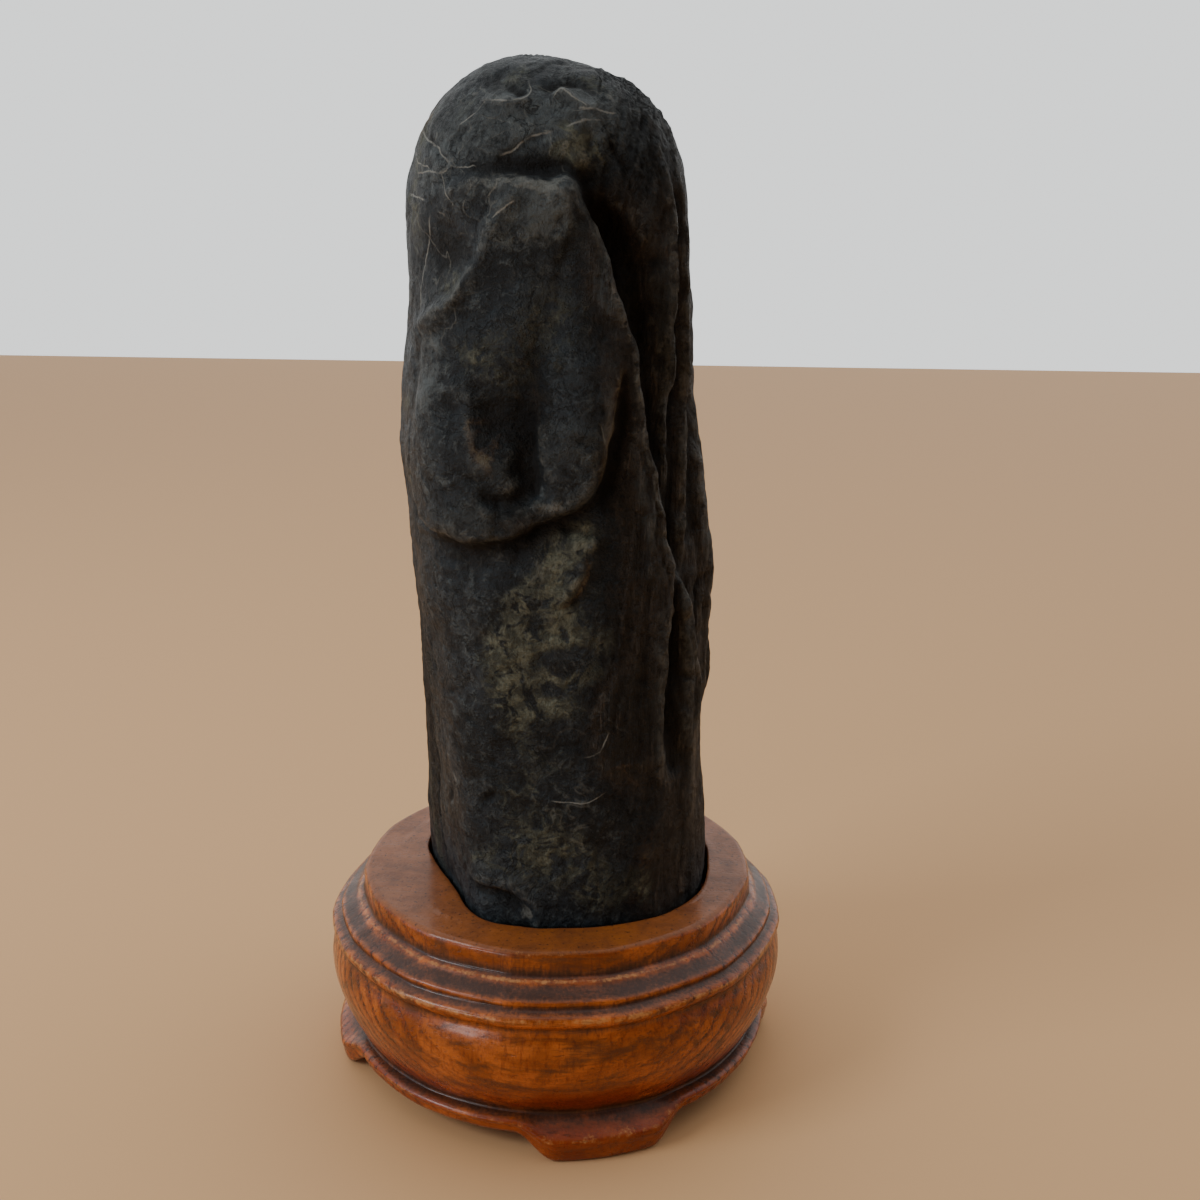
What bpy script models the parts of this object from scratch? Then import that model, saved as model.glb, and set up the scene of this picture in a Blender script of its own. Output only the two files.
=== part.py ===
"""A scholar's rock standing in its carved wooden stand.

The stone is one tall river-worn pillar with a domed top, a cloak-like front mass and a
fluted right flank. The stand is one piece of wood: a moulded round body on four feet,
with a seat cut to the stone's own outline.

Metres, +Z up, the table at z = 0, the stand's axis at x = y = 0, the front towards -Y.
Azimuths are in degrees round +Z from the front, positive towards +X.
Dimensions below are in millimetres and are scaled once, when a mesh is placed.
"""

import math
import random

import bmesh
import bpy
import numpy as np
from mathutils import Vector, noise

MM = 0.001

# ---------------------------------------------------------------- the stand's dimensions
STAND_HEIGHT = 51.5
SEAT_FLOOR = 38.7
SEAT_GAP = 0.9  # all round the stone, where it enters the seat
SEAT_STEPS = 72
TURN_STEPS = 84
FOOT_CENTRES = (13.5, 104.0, 194.0, 278.0)
FOOT_HALF_WIDTH = 11.5  # degrees, where the foot stands at its full size
FOOT_SWEEP = 10.5  # degrees, over which the plate's lip sweeps down into a foot

# Moulding, as radius and height, from the rim down to the groove above the plate
MOULDING = (
    (51.2, 51.5),
    (52.4, 50.4),
    (52.7, 45.1),
    (54.0, 44.5),
    (58.6, 41.9),
    (58.2, 40.7),
    (59.7, 39.9),
    (61.4, 38.8),
    (61.2, 37.3),
    (59.9, 35.8),
    (60.8, 32.2),
    (61.2, 28.5),
    (60.3, 22.5),
    (58.0, 16.5),
    (55.6, 12.2),
    (54.8, 10.7),
)

# The plate under the belly: radius and height between the feet, then at a foot
PLATE = (
    ((55.4, 10.3), (55.4, 9.6)),
    ((57.2, 10.0), (57.8, 8.1)),
    ((57.9, 9.2), (60.2, 6.4)),
    ((57.5, 8.4), (60.4, 5.0)),
    ((56.9, 8.0), (59.8, 2.8)),
    ((57.1, 7.2), (59.2, 0.9)),
    ((56.8, 5.8), (58.6, 0.0)),
    ((50.5, 5.6), (50.0, 0.0)),
    ((48.0, 5.6), (48.0, 5.6)),
)

# ---------------------------------------------------------------- the stone's dimensions
STONE_FOOT = 39.0  # the underside, 0.3 above the seat's floor
STONE_TOP = 254.6
DOME_START = 219.0
DOME_POWER = 2.3
APEX_SHIFT = -4.0  # the top leans this far to the left of the axis
OUTLINE_POWER = 2.35  # 2 is an ellipse; higher is squarer
MEAN_RADIUS = 38.0  # turns degrees round the stone into millimetres across it

# Reach of the stone from the stand's axis: height, to the left, right, front and back
REACH = (
    (39.0, 35.0, 39.5, 38.0, 34.5),
    (51.5, 37.0, 40.5, 39.3, 36.0),
    (70.0, 36.0, 39.5, 38.8, 36.5),
    (95.0, 35.5, 38.0, 38.3, 36.5),
    (120.0, 37.0, 37.8, 38.0, 36.0),
    (135.0, 38.2, 38.7, 37.6, 36.0),
    (150.0, 38.8, 36.8, 37.3, 35.5),
    (165.0, 41.2, 34.7, 37.5, 35.0),
    (178.0, 40.4, 32.5, 37.4, 34.3),
    (192.0, 37.7, 31.6, 37.0, 33.9),
    (205.0, 37.5, 31.4, 36.3, 33.5),
    (222.0, 37.5, 30.3, 34.3, 33.0),
    (255.0, 36.2, 29.6, 33.6, 32.0),
)

SCULPT_COLUMNS = 224
SCULPT_ROWS = 220
STONE_TRIANGLES = 5184


def smooth_step(x):
    """0 below 0, 1 above 1, and an even S between."""
    x = np.clip(x, 0.0, 1.0)
    return x * x * (3.0 - 2.0 * x)


def through(points, per_span=8):
    """The smooth curve through a short list of points, with any values they carry."""
    points = np.asarray(points, float)
    ends = np.vstack([2 * points[0] - points[1], points, 2 * points[-1] - points[-2]])
    curve = []
    for a, b, c, d in zip(ends, ends[1:], ends[2:], ends[3:]):
        for t in np.arange(per_span) / per_span:
            bend = (2 * a - 5 * b + 4 * c - d) * t + (3 * (b - c) + d - a) * t * t
            curve.append(b + 0.5 * t * ((c - a) + bend))
    return np.vstack([curve, points[-1]])


class Surface:
    """The stone's skin: where each point of the plain pillar is, and how far it has moved."""

    def __init__(self, azimuth, plain):
        self.azimuth, self.plain, self.height = azimuth, plain, plain[:, 2]
        self.out = np.zeros_like(azimuth)  # along the skin's normal
        self.down = np.zeros_like(azimuth)

    def nearest(self, line):
        """For every point: distance to the line, its side, share of the way along, values there."""
        line = through(line)
        across = np.radians(line[:, 0]) * MEAN_RADIUS
        lengths = np.hypot(np.diff(across), np.diff(line[:, 1]))
        along = np.concatenate([[0.0], np.cumsum(lengths)]) / lengths.sum()
        turn = (self.azimuth - np.mean(line[:, 0]) + 180.0) % 360.0 - 180.0
        here = np.radians(turn + np.mean(line[:, 0])) * MEAN_RADIUS
        best = np.full(here.shape, np.inf)
        side = np.zeros_like(best)
        share = np.zeros_like(best)
        for i, length in enumerate(lengths):
            du, dv = across[i + 1] - across[i], line[i + 1, 1] - line[i, 1]
            pu, pv = here - across[i], self.height - line[i, 1]
            t = np.clip((pu * du + pv * dv) / length**2, 0.0, 1.0)
            gap = np.hypot(pu - t * du, pv - t * dv)
            closer = gap < best
            best = np.where(closer, gap, best)
            side = np.where(closer, np.sign(du * pv - dv * pu), side)
            share = np.where(closer, along[i] + t * (along[i + 1] - along[i]), share)
        values = [np.interp(share, along, line[:, k]) for k in range(2, line.shape[1])]
        return best, side, share, values

    def crease(self, line, width, taper=0.05):
        """A ridge, or a furrow where the amount is negative. Points: azimuth, height, amount."""
        gap, _, share, (amount,) = self.nearest(line)
        ends = smooth_step(np.minimum(share, 1.0 - share) / taper)
        self.out += amount * ends * np.exp(-((gap / width) ** 2))

    def cliff(self, line, reach_up, reach_down, edge=1.2, taper=0.05):
        """A step. Points: azimuth, height, rise on the line's right, fall on its left."""
        gap, side, share, (rise, fall) = self.nearest(line)
        ends = smooth_step(np.minimum(share, 1.0 - share) / taper)
        signed = -side * gap
        high = 0.5 + 0.5 * np.tanh(signed / edge)
        up = rise * np.exp(-((gap / reach_up) ** 2))
        fallen = -fall * np.exp(-((gap / reach_down) ** 2))
        self.out += ends * (high * up + (1.0 - high) * fallen)

    def dab(self, azimuth, height, wide, tall, amount, lean=0.0):
        """A lump, or a hollow where the amount is negative; lean turns it clockwise."""
        turn = (self.azimuth - azimuth + 180.0) % 360.0 - 180.0
        du, dv = np.radians(turn) * MEAN_RADIUS, self.height - height
        c, s = math.cos(math.radians(lean)), math.sin(math.radians(lean))
        size = ((du * c - dv * s) / wide) ** 2 + ((du * s + dv * c) / tall) ** 2
        self.out += amount * np.exp(-size)

    def swell(self, centre, radius, amount):
        """A broad swelling round a point in space, or a flattening where it is negative."""
        away = np.linalg.norm(self.plain - np.array(centre), axis=1)
        self.out += amount * np.exp(-((away / radius) ** 2))

    def droop(self, line, width, taper=0.05):
        """Lets an edge hang over what is below it. Points: azimuth, height, amount."""
        gap, _, share, (amount,) = self.nearest(line)
        ends = smooth_step(np.minimum(share, 1.0 - share) / taper)
        self.down += amount * ends * np.exp(-((gap / width) ** 2))


# ---------------------------------------------------------------- the stone's features
# The cloak's right hem, from the shoulder down to the foot: it stands proud of the flank.
CLOAK_HEM = (
    (0, 230, 0.0, 0.0),
    (3.5, 227, 0.2, 0.2),
    (8, 223, 2.0, 5.0),
    (14.5, 217, 2.8, 7.5),
    (20, 209, 2.8, 8.5),
    (24.5, 200, 2.6, 8.0),
    (29, 190, 2.2, 6.5),
    (32, 181, 2.0, 5.6),
    (35, 172, 1.7, 4.8),
    (38, 161, 1.5, 4.0),
    (41.5, 151, 1.3, 3.3),
    (44.5, 143, 1.1, 2.8),
    (48.5, 137, 1.0, 2.6),
    (54, 130, 1.0, 2.2),
    (59, 118, 1.0, 1.6),
    (62, 104, 0.8, 1.2),
    (64, 86, 0.5, 0.8),
    (64, 70, 0.2, 0.3),
)
# The cloak's shoulder, a shelf standing forward under the dome.
SHOULDER = (
    (-70, 216, 0.1, 0.1),
    (-58, 219.5, 0.4, 0.2),
    (-44, 223, 0.8, 0.4),
    (-28, 225.5, 1.6, 0.8),
    (-14, 225, 3.0, 1.5),
    (0, 225, 3.4, 1.8),
    (9, 224.5, 2.2, 0.6),
    (20, 225, 0.0, 0.0),
)
# The dome's right side hangs over the hollow beside the hem.
BROW = (
    (46, 210, 0.4, 0.6),
    (38, 213.5, 0.9, 1.6),
    (29, 217.5, 1.2, 2.8),
    (20, 220, 1.2, 3.0),
    (12, 221, 0.8, 1.8),
    (7, 222, 0.2, 0.4),
)
# The lower rim of the front lobes, an overhang across the front.
LOBE_RIM = (
    (22, 189, 0.4, 0.2),
    (20.5, 179, 1.0, 0.9),
    (18.5, 168, 1.8, 1.7),
    (15, 160, 2.1, 1.9),
    (9, 155, 2.1, 1.6),
    (-2, 151, 2.1, 1.5),
    (-12, 148.5, 2.3, 1.4),
    (-22, 146, 2.5, 1.3),
    (-34, 146.5, 2.7, 1.2),
    (-48, 149, 2.3, 1.0),
    (-62, 154, 1.5, 0.6),
    (-78, 163, 0.5, 0.2),
)


def carve_front(skin):
    """The cloak: shoulder, fold, two lobes with their overhanging rim, and the hem."""
    skin.cliff(CLOAK_HEM, reach_up=9.0, reach_down=12.0, edge=1.0)
    skin.cliff(SHOULDER, reach_up=14.0, reach_down=7.0, edge=1.5)
    skin.cliff(BROW, reach_up=9.0, reach_down=16.0, edge=1.5)
    skin.cliff(LOBE_RIM, reach_up=15.0, reach_down=9.0, edge=1.1)
    skin.droop([(a, h + 2.0, 0.9) for a, h, _, _ in LOBE_RIM], width=3.0, taper=0.3)
    fold = ((-14, 222, 0.6), (-21, 215, 1.2), (-27, 208, 1.5), (-34, 201, 1.5))
    skin.crease(fold + ((-47, 196, 1.4), (-62, 191, 0.8)), width=2.5)
    skin.dab(-44, 210, 10.0, 9.0, -3.0, lean=-20.0)
    skin.dab(-37, 171, 15.0, 17.0, 2.3)
    skin.dab(7, 178, 7.5, 18.0, 1.8)
    skin.dab(-12, 196, 9.0, 14.0, 0.8)
    valley = ((-6, 208, -0.4), (-2, 200, -0.9), (-4, 191, -1.4), (-9, 182, -1.9))
    skin.crease(valley + ((-10, 174, -2.8), (-8, 165, -3.1), (-8, 155, -2.2)), width=4.2)
    slit = ((-7.5, 154, 0.5, 0.8), (-6, 162, 0.9, 1.4), (-6.5, 170, 0.7, 1.0), (-8.5, 176, 0.2, 0.3))
    skin.cliff(slit, reach_up=4.0, reach_down=5.0, edge=0.7)
    skin.dab(-20, 173, 6.5, 9.0, -3.0)
    skin.crease(((-34, 182, 0.3), (-30, 176, 1.0), (-27, 168, 1.2), (-23, 161, 0.5)), width=2.4)
    furrow = ((25, 190, -0.4), (24.5, 181, -1.2), (22, 170, -1.8), (19, 161, -1.6))
    skin.crease(furrow + ((17, 152, -0.6),), width=2.4)
    crack = ((15.5, 147, 0.9, 0.5), (13.5, 140, 1.1, 0.7), (10, 134, 1.0, 0.6), (3, 130, 0.4, 0.3))
    skin.cliff(crack, reach_up=6.0, reach_down=5.0, edge=0.6)
    skin.crease(((-24, 140, 0.3), (-20, 126, 0.9), (-21, 108, 0.8), (-23, 92, 0.3)), width=6.0)
    skin.crease(((12, 126, 0.2), (16, 112, 0.8), (16, 98, 0.8), (14, 84, 0.2)), width=6.0)


def carve_right_flank(skin):
    """Long flutes down the right side, the arched hollow low down and the rib beside it."""
    for line, width in (
        (((42, 236, 0.5), (46, 224, 1.4), (48, 210, 2.0), (48.5, 198, 2.2), (49.5, 187, 2.2),
          (49, 177, 2.0), (47.5, 167, 1.8), (47.5, 156, 0.8)), 1.8),
        (((54, 232, 0.4), (58, 220, 1.4), (58, 206, 1.6), (60, 192, 2.0), (58.5, 180, 2.0),
          (56, 168, 1.8), (55, 154, 1.0), (56, 144, 0.4)), 1.9),
        (((33, 212, -0.6), (37, 200, -1.6), (40, 188, -2.0), (42, 174, -2.0),
          (43, 163, -1.2)), 2.6),
        (((52, 226, -0.5), (54, 210, -1.6), (54, 196, -2.2), (54, 183, -2.6), (51.5, 171, -2.4),
          (51, 158, -1.6), (52, 147, -0.6)), 2.2),
        (((66, 224, -0.4), (66, 204, -1.4), (67, 188, -1.8), (64, 172, -2.0), (61, 156, -1.6),
          (60, 142, -0.8)), 2.4),
        (((74, 206, 0.4), (76, 184, 1.0), (71, 164, 1.6), (70, 148, 1.8), (74, 134, 2.0),
          (77, 118, 1.2), (76, 98, 0.4)), 3.6),
    ):
        skin.crease(line, width)
    hollow = ((50, 128, -1.6), (47, 121, -3.2), (46, 111, -3.6), (45.5, 99, -2.8), (47, 86, -1.0))
    skin.crease(hollow, width=2.8)
    rib = ((50, 133, 0.6), (55, 122, 1.6), (57, 108, 1.8), (56, 92, 1.4), (53, 72, 0.6))
    skin.crease(rib, width=2.8)
    edge = ((37, 144, 0.4), (39.5, 128, 1.0), (40, 110, 1.1), (41, 92, 1.1), (39, 78, 1.0),
            (34, 64, 0.5))
    skin.crease(edge, width=3.2)
    skin.dab(28, 126, 7.0, 20.0, -0.8)


def carve_back(skin):
    """Long wandering flutes round the left flank and the back, and a slanting ledge."""
    chance = random.Random(11)
    for count, azimuth in enumerate(range(100, 268, 12)):
        top, bottom = chance.uniform(196, 238), chance.uniform(62, 112)
        drift, bend = chance.uniform(-5, 5), chance.uniform(0, 6)
        deep = chance.uniform(1.2, 2.6) * (-1.0 if count % 2 else 0.6)
        line = []
        for share in (0.0, 0.2, 0.4, 0.6, 0.8, 1.0):
            turn = azimuth + drift * share + 3.5 * math.sin(bend + 5.0 * share)
            line.append((turn, top + share * (bottom - top), deep * math.sin(math.pi * share)))
        skin.crease(line, width=chance.uniform(2.2, 4.2))
    ledge = ((166, 180, 0.3, 0.3), (172, 168, 1.0, 0.8), (182, 157, 1.6, 1.4),
             (194, 150, 1.8, 1.6), (208, 139, 1.2, 1.0), (222, 132, 0.3, 0.3))
    skin.cliff(ledge, reach_up=15.0, reach_down=8.0)
    skin.crease(((-66, 142, -0.3), (-73, 122, -1.0), (-72, 98, -1.0), (-66, 74, -0.4)), width=5.0)
    skin.dab(200, 214, 15.0, 17.0, 1.8, lean=15.0)
    skin.dab(160, 222, 10.0, 12.0, -1.6)
    skin.dab(236, 112, 12.0, 20.0, 1.4)
    skin.dab(142, 92, 12.0, 18.0, 1.4)


def carve_ends(skin):
    """The dome's flattened right shoulder, and the chipped lower edge at the front left."""
    skin.swell((11.0, -4.0, 256.0), 10.0, -1.2)
    skin.swell((-16.0, 20.0, 246.0), 12.0, -1.8)
    skin.swell((12.0, 24.0, 240.0), 11.0, 1.2)
    skin.dab(12, 232, 3.2, 3.2, -1.0)
    skin.dab(4, 234, 5.0, 4.0, 0.9)
    chip = ((-6, 48, 0.2, 0.2), (-8, 53, 0.5, 0.6), (-12, 58, 0.8, 1.2), (-18, 60, 0.8, 1.2),
            (-27, 61, 0.8, 1.0), (-34, 62, 0.3, 0.3))
    skin.cliff(chip, reach_up=5.0, reach_down=5.0, edge=0.6)


# Flat cuts: azimuth they face, distance from the axis low down and high up, heights of those
CUTS = ((-66.0, 31.2, 39.5, 51.5, 135.0),)
CUT_BLEND = 1.6


def reach_at(azimuth, height):
    """Distance from the axis to the plain, uncarved pillar."""
    table = np.asarray(REACH)
    left, right, front, back = (np.interp(height, table[:, 0], table[:, k]) for k in range(1, 5))
    across, ahead = np.sin(np.radians(azimuth)), np.cos(np.radians(azimuth))
    wide = np.where(across < 0.0, left, right)
    deep = np.where(ahead > 0.0, front, back)
    power = OUTLINE_POWER
    reach = (np.abs(across / wide) ** power + np.abs(ahead / deep) ** power) ** (-1.0 / power)
    for facing, low, high, low_height, high_height in CUTS:
        away = np.interp(height, (low_height, high_height), (low, high))
        toward = np.cos(np.radians(azimuth - facing))
        plane = away / np.maximum(toward, 0.05)
        over = np.minimum((reach - plane) / CUT_BLEND, 30.0)
        reach = reach - CUT_BLEND * np.logaddexp(0.0, over)
    return reach


def meridian():
    """Height and share of the full reach, from the top's centre down to the underside's."""
    angles = np.linspace(math.pi / 2, 0.0, 60)
    dome = [
        (DOME_START + (STONE_TOP - DOME_START) * math.sin(a) ** (2 / DOME_POWER),
         math.cos(a) ** (2 / DOME_POWER))
        for a in angles
    ]
    side = [(h, 1.0) for h in np.linspace(DOME_START, STONE_FOOT + 4.0, 60)[1:]]
    foot = [
        (STONE_FOOT + 4.0 * (1.0 - math.sin(a)), 0.9 + 0.1 * math.cos(a))
        for a in np.linspace(0.0, math.pi / 2, 8)[1:]
    ]
    return np.array(dome + side + foot + [(STONE_FOOT, 0.0)])


def pillar(azimuth, along):
    """Points of the uncarved pillar. along runs from 0 at the top to 1 under the foot."""
    profile = meridian()
    steps = np.hypot(np.diff(profile[:, 0]), np.diff(profile[:, 1] * MEAN_RADIUS))
    travelled = np.concatenate([[0.0], np.cumsum(steps)]) / steps.sum()
    height = np.interp(along, travelled, profile[:, 0])
    share = np.interp(along, travelled, profile[:, 1])
    reach = reach_at(azimuth, height) * share
    lean = np.where(height > DOME_START, APEX_SHIFT * (1.0 - share), 0.0)
    turn = np.radians(azimuth)
    return np.stack([reach * np.sin(turn) + lean, -reach * np.cos(turn), height], -1)


def stone_points(azimuth, along):
    """Points of the carved stone, in millimetres."""
    plain = pillar(azimuth, along)
    step = 1e-3
    across = pillar(azimuth + 0.5, along) - pillar(azimuth - 0.5, along)
    down = pillar(azimuth, np.minimum(along + step, 1.0)) - pillar(
        azimuth, np.maximum(along - step, 0.0)
    )
    normal = np.cross(down, across)
    length = np.linalg.norm(normal, axis=-1, keepdims=True)
    upright = np.where(plain[:, 2:] > DOME_START, (0.0, 0.0, 1.0), (0.0, 0.0, -1.0))
    normal = np.where(length > 1e-6, normal / np.maximum(length, 1e-6), upright)
    skin = Surface(azimuth, plain)
    carve_front(skin)
    carve_right_flank(skin)
    carve_back(skin)
    carve_ends(skin)
    lumps = np.array([noise.fractal(Vector(p / 26.0), 0.9, 2.1, 4) for p in plain])
    fade_in_seat = smooth_step((plain[:, 2] - STONE_FOOT) / 5.0)
    out = (skin.out + 0.8 * lumps) * fade_in_seat
    carved = plain + normal * out[:, None]
    carved[:, 2] -= skin.down * fade_in_seat
    return carved


# ---------------------------------------------------------------- Blender helpers


def material(name, colour, roughness, metallic=0.0):
    made = bpy.data.materials.new(name)
    made.use_nodes = True
    shader = made.node_tree.nodes["Principled BSDF"]
    shader.inputs["Base Color"].default_value = (*colour, 1.0)
    shader.inputs["Roughness"].default_value = roughness
    shader.inputs["Metallic"].default_value = metallic
    return made


def add_object(name, mesh, collection, finish=None):
    obj = bpy.data.objects.new(name, mesh)
    collection.objects.link(obj)
    if finish:
        mesh.materials.append(finish)
    return obj


def as_evaluated(obj):
    """The object's mesh with its modifiers worked in."""
    graph = bpy.context.evaluated_depsgraph_get()
    return bpy.data.meshes.new_from_object(obj.evaluated_get(graph))


def clear_scene():
    for obj in list(bpy.data.objects):
        bpy.data.objects.remove(obj)


# ---------------------------------------------------------------- the stand


def foot_share(azimuth):
    """1 on a foot, 0 between two feet, and an S down the foot's side."""
    off = min(abs((azimuth - c + 180.0) % 360.0 - 180.0) for c in FOOT_CENTRES)
    return float(smooth_step(1.0 - (off - FOOT_HALF_WIDTH) / FOOT_SWEEP))


def turned_blank(helpers):
    """The stand's body as it comes off the lathe: a profile with a Screw modifier."""
    rows = ((0.0, STAND_HEIGHT),) + MOULDING + tuple(gap for gap, _ in PLATE)
    rows += ((0.0, PLATE[-1][0][1]),)
    mesh = bpy.data.meshes.new("stand_profile")
    points = [(r * MM, 0.0, h * MM) for r, h in rows]
    mesh.from_pydata(points, [(i, i + 1) for i in range(len(points) - 1)], [])
    blank = add_object("stand_blank", mesh, helpers)
    screw = blank.modifiers.new("turning", "SCREW")
    screw.axis = "Z"
    screw.steps = screw.render_steps = TURN_STEPS
    screw.use_merge_vertices = True
    screw.merge_threshold = 1e-6
    bpy.context.view_layer.update()
    turned = as_evaluated(blank)
    bpy.data.objects.remove(blank)
    return turned


def carve_feet(mesh):
    """Draws the turned plate out and down into four feet."""
    plate_top = PLATE[0][0][1] + 0.1
    for vertex in mesh.vertices:
        radius = math.hypot(vertex.co.x, vertex.co.y) / MM
        height = vertex.co.z / MM
        if height > plate_top or radius < 1.0:
            continue
        gap, foot = min(PLATE, key=lambda row: math.hypot(row[0][0] - radius, row[0][1] - height))
        azimuth = math.degrees(math.atan2(vertex.co.x, -vertex.co.y))
        share = foot_share(azimuth)
        new_radius = gap[0] + share * (foot[0] - gap[0])
        vertex.co.x *= new_radius / radius
        vertex.co.y *= new_radius / radius
        vertex.co.z = (gap[1] + share * (foot[1] - gap[1])) * MM


def seat_outline():
    """The stone's outline where it stands in the seat, with the seat's gap round it."""
    azimuth = np.arange(SEAT_STEPS) * 360.0 / SEAT_STEPS
    along = np.linspace(0.7, 1.0, 100)
    columns, rows = np.meshgrid(azimuth, along)
    points = stone_points(columns.ravel(), rows.ravel())
    reach = np.hypot(points[:, 0], points[:, 1])
    reach = np.where(points[:, 2] < STAND_HEIGHT + 0.5, reach, 0.0)
    return azimuth, reach.reshape(columns.shape).max(axis=0) + SEAT_GAP


def seat_cutter(cutters):
    """A plug of the seat's shape, from its floor to well above the rim."""
    azimuth, reach = seat_outline()
    bm = bmesh.new()
    ring = [
        bm.verts.new((r * math.sin(a) * MM, -r * math.cos(a) * MM, SEAT_FLOOR * MM))
        for a, r in zip(np.radians(azimuth), reach)
    ]
    floor = bm.faces.new(ring)
    up = bmesh.ops.extrude_face_region(bm, geom=[floor])
    raised = [v for v in up["geom"] if isinstance(v, bmesh.types.BMVert)]
    height = (STAND_HEIGHT - SEAT_FLOOR + 6.0) * MM
    bmesh.ops.translate(bm, verts=raised, vec=(0.0, 0.0, height))
    bmesh.ops.recalc_face_normals(bm, faces=bm.faces)
    mesh = bpy.data.meshes.new("seat_cutter")
    bm.to_mesh(mesh)
    bm.free()
    cutter = add_object("seat_cutter", mesh, cutters)
    cutter.hide_render = True
    cutter.display_type = "WIRE"
    return cutter


def make_stand(collection, cutters, finish):
    blank = turned_blank(cutters)
    carve_feet(blank)
    stand = add_object("stand", blank, collection, finish)
    seat = stand.modifiers.new("seat", "BOOLEAN")
    seat.operation = "DIFFERENCE"
    seat.object = seat_cutter(cutters)
    blank.shade_smooth()
    blank.set_sharp_from_angle(angle=math.radians(40.0))
    return stand


# ---------------------------------------------------------------- the stone


def make_stone(collection, finish):
    """A sphere drawn out into the pillar and carved, then brought down to few faces."""
    bm = bmesh.new()
    bmesh.ops.create_uvsphere(
        bm, u_segments=SCULPT_COLUMNS, v_segments=SCULPT_ROWS, radius=1.0
    )
    ball = np.array([v.co for v in bm.verts])
    azimuth = np.degrees(np.arctan2(ball[:, 0], -ball[:, 1]))
    along = np.arccos(np.clip(ball[:, 2], -1.0, 1.0)) / math.pi
    for vertex, point in zip(bm.verts, stone_points(azimuth, along)):
        vertex.co = Vector(point) * MM
    faces = len(bm.faces) * 2
    bmesh.ops.recalc_face_normals(bm, faces=bm.faces)
    mesh = bpy.data.meshes.new("stone")
    bm.to_mesh(mesh)
    bm.free()
    stone = add_object("stone", mesh, collection, finish)
    mesh.shade_smooth()
    fewer = stone.modifiers.new("fewer faces", "DECIMATE")
    fewer.ratio = STONE_TRIANGLES / faces
    fewer.use_collapse_triangulate = True
    return stone


def main():
    clear_scene()
    scene = bpy.context.scene
    collection = bpy.data.collections.new("scholars_rock")
    cutters = bpy.data.collections.new("cutters")
    scene.collection.children.link(collection)
    scene.collection.children.link(cutters)
    make_stone(collection, material("dark_stone", (0.035, 0.038, 0.042), 0.5))
    make_stand(collection, cutters, material("stained_wood", (0.32, 0.11, 0.03), 0.35))


main()
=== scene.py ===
# %% [markdown]
# # A scholar's rock on its carved wooden stand
# A scholar's rock is a stone that a river has shaped, kept for its form, oiled and handled
# until it has a quiet sheen, and stood upright in a wooden stand cut to its own outline.
# This lesson dresses both pieces. The packed solids give the sizes and the places, and each
# is replaced by a finer mesh of the same form, with a finish made only of nodes.

# %% Load the packed solids
import math
import random
from types import SimpleNamespace

import bpy
import numpy as np
from mathutils import Matrix, Vector, noise


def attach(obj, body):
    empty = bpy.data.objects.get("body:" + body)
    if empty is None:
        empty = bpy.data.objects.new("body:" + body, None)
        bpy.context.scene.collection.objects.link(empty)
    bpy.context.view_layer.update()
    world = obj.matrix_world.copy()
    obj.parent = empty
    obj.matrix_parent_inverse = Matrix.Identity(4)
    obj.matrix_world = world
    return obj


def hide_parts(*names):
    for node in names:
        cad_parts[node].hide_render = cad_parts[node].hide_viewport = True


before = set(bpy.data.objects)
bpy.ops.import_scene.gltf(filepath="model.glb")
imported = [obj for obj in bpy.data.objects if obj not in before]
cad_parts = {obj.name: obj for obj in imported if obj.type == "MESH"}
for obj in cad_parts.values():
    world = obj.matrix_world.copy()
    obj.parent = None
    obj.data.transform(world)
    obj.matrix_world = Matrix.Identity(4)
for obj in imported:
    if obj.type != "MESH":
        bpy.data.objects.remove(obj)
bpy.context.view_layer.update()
MM = 0.001
scene = bpy.context.scene

# %% [markdown]
# ## The camera
# The rock is seen from its front, from a hand's breadth above its middle and close by, with a
# wide lens: that is why its sides lean together towards the foot. A camera's matrix is its
# place times its turns, read from the right: first the small roll, then the tilt.

# %% The camera
EYE = (0.0106, -0.305, 0.1986)
LOOKS_DOWN = 13.77  # degrees under the horizon
ROLL = 0.85

camera_data = bpy.data.cameras.new("camera")
camera_data.lens = 36.0
camera_data.sensor_width = 36.0
camera_data.clip_start = 0.01
camera = bpy.data.objects.new("camera", camera_data)
scene.collection.objects.link(camera)
tilt = Matrix.Rotation(math.radians(90.0 - LOOKS_DOWN), 4, "X")
roll = Matrix.Rotation(math.radians(ROLL), 4, "Z")
camera.matrix_world = Matrix.Translation(EYE) @ tilt @ roll
scene.camera = camera
print("camera at", EYE)

# %% [markdown]
# ## Floor and light
# A dark satin stone shows its form by what it mirrors. In an even room it mirrors light from
# every side and looks grey, so here the room is bright behind the stone and dim in front of it,
# as it is where a rock stands near a pale wall. Three soft lamps on the left are the daylight:
# a high one draws the forms, a bluer one is level with the lobes, and a low one gives the
# varnish its gloss. One lamp would be simpler, but it can't do all three. Small lamps would be
# easier to aim, but they leave hard sparks on every bump.


# %% Floor and lamps
def add_lamp(name, place, target, size, power, colour):
    data = bpy.data.lights.new(name, "AREA")
    data.shape = "RECTANGLE"
    data.size, data.size_y = size
    data.energy = power
    data.color = colour
    lamp = bpy.data.objects.new(name, data)
    lamp.location = place
    lamp.rotation_euler = (Vector(target) - Vector(place)).to_track_quat("-Z", "Y").to_euler()
    scene.collection.objects.link(lamp)


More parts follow.
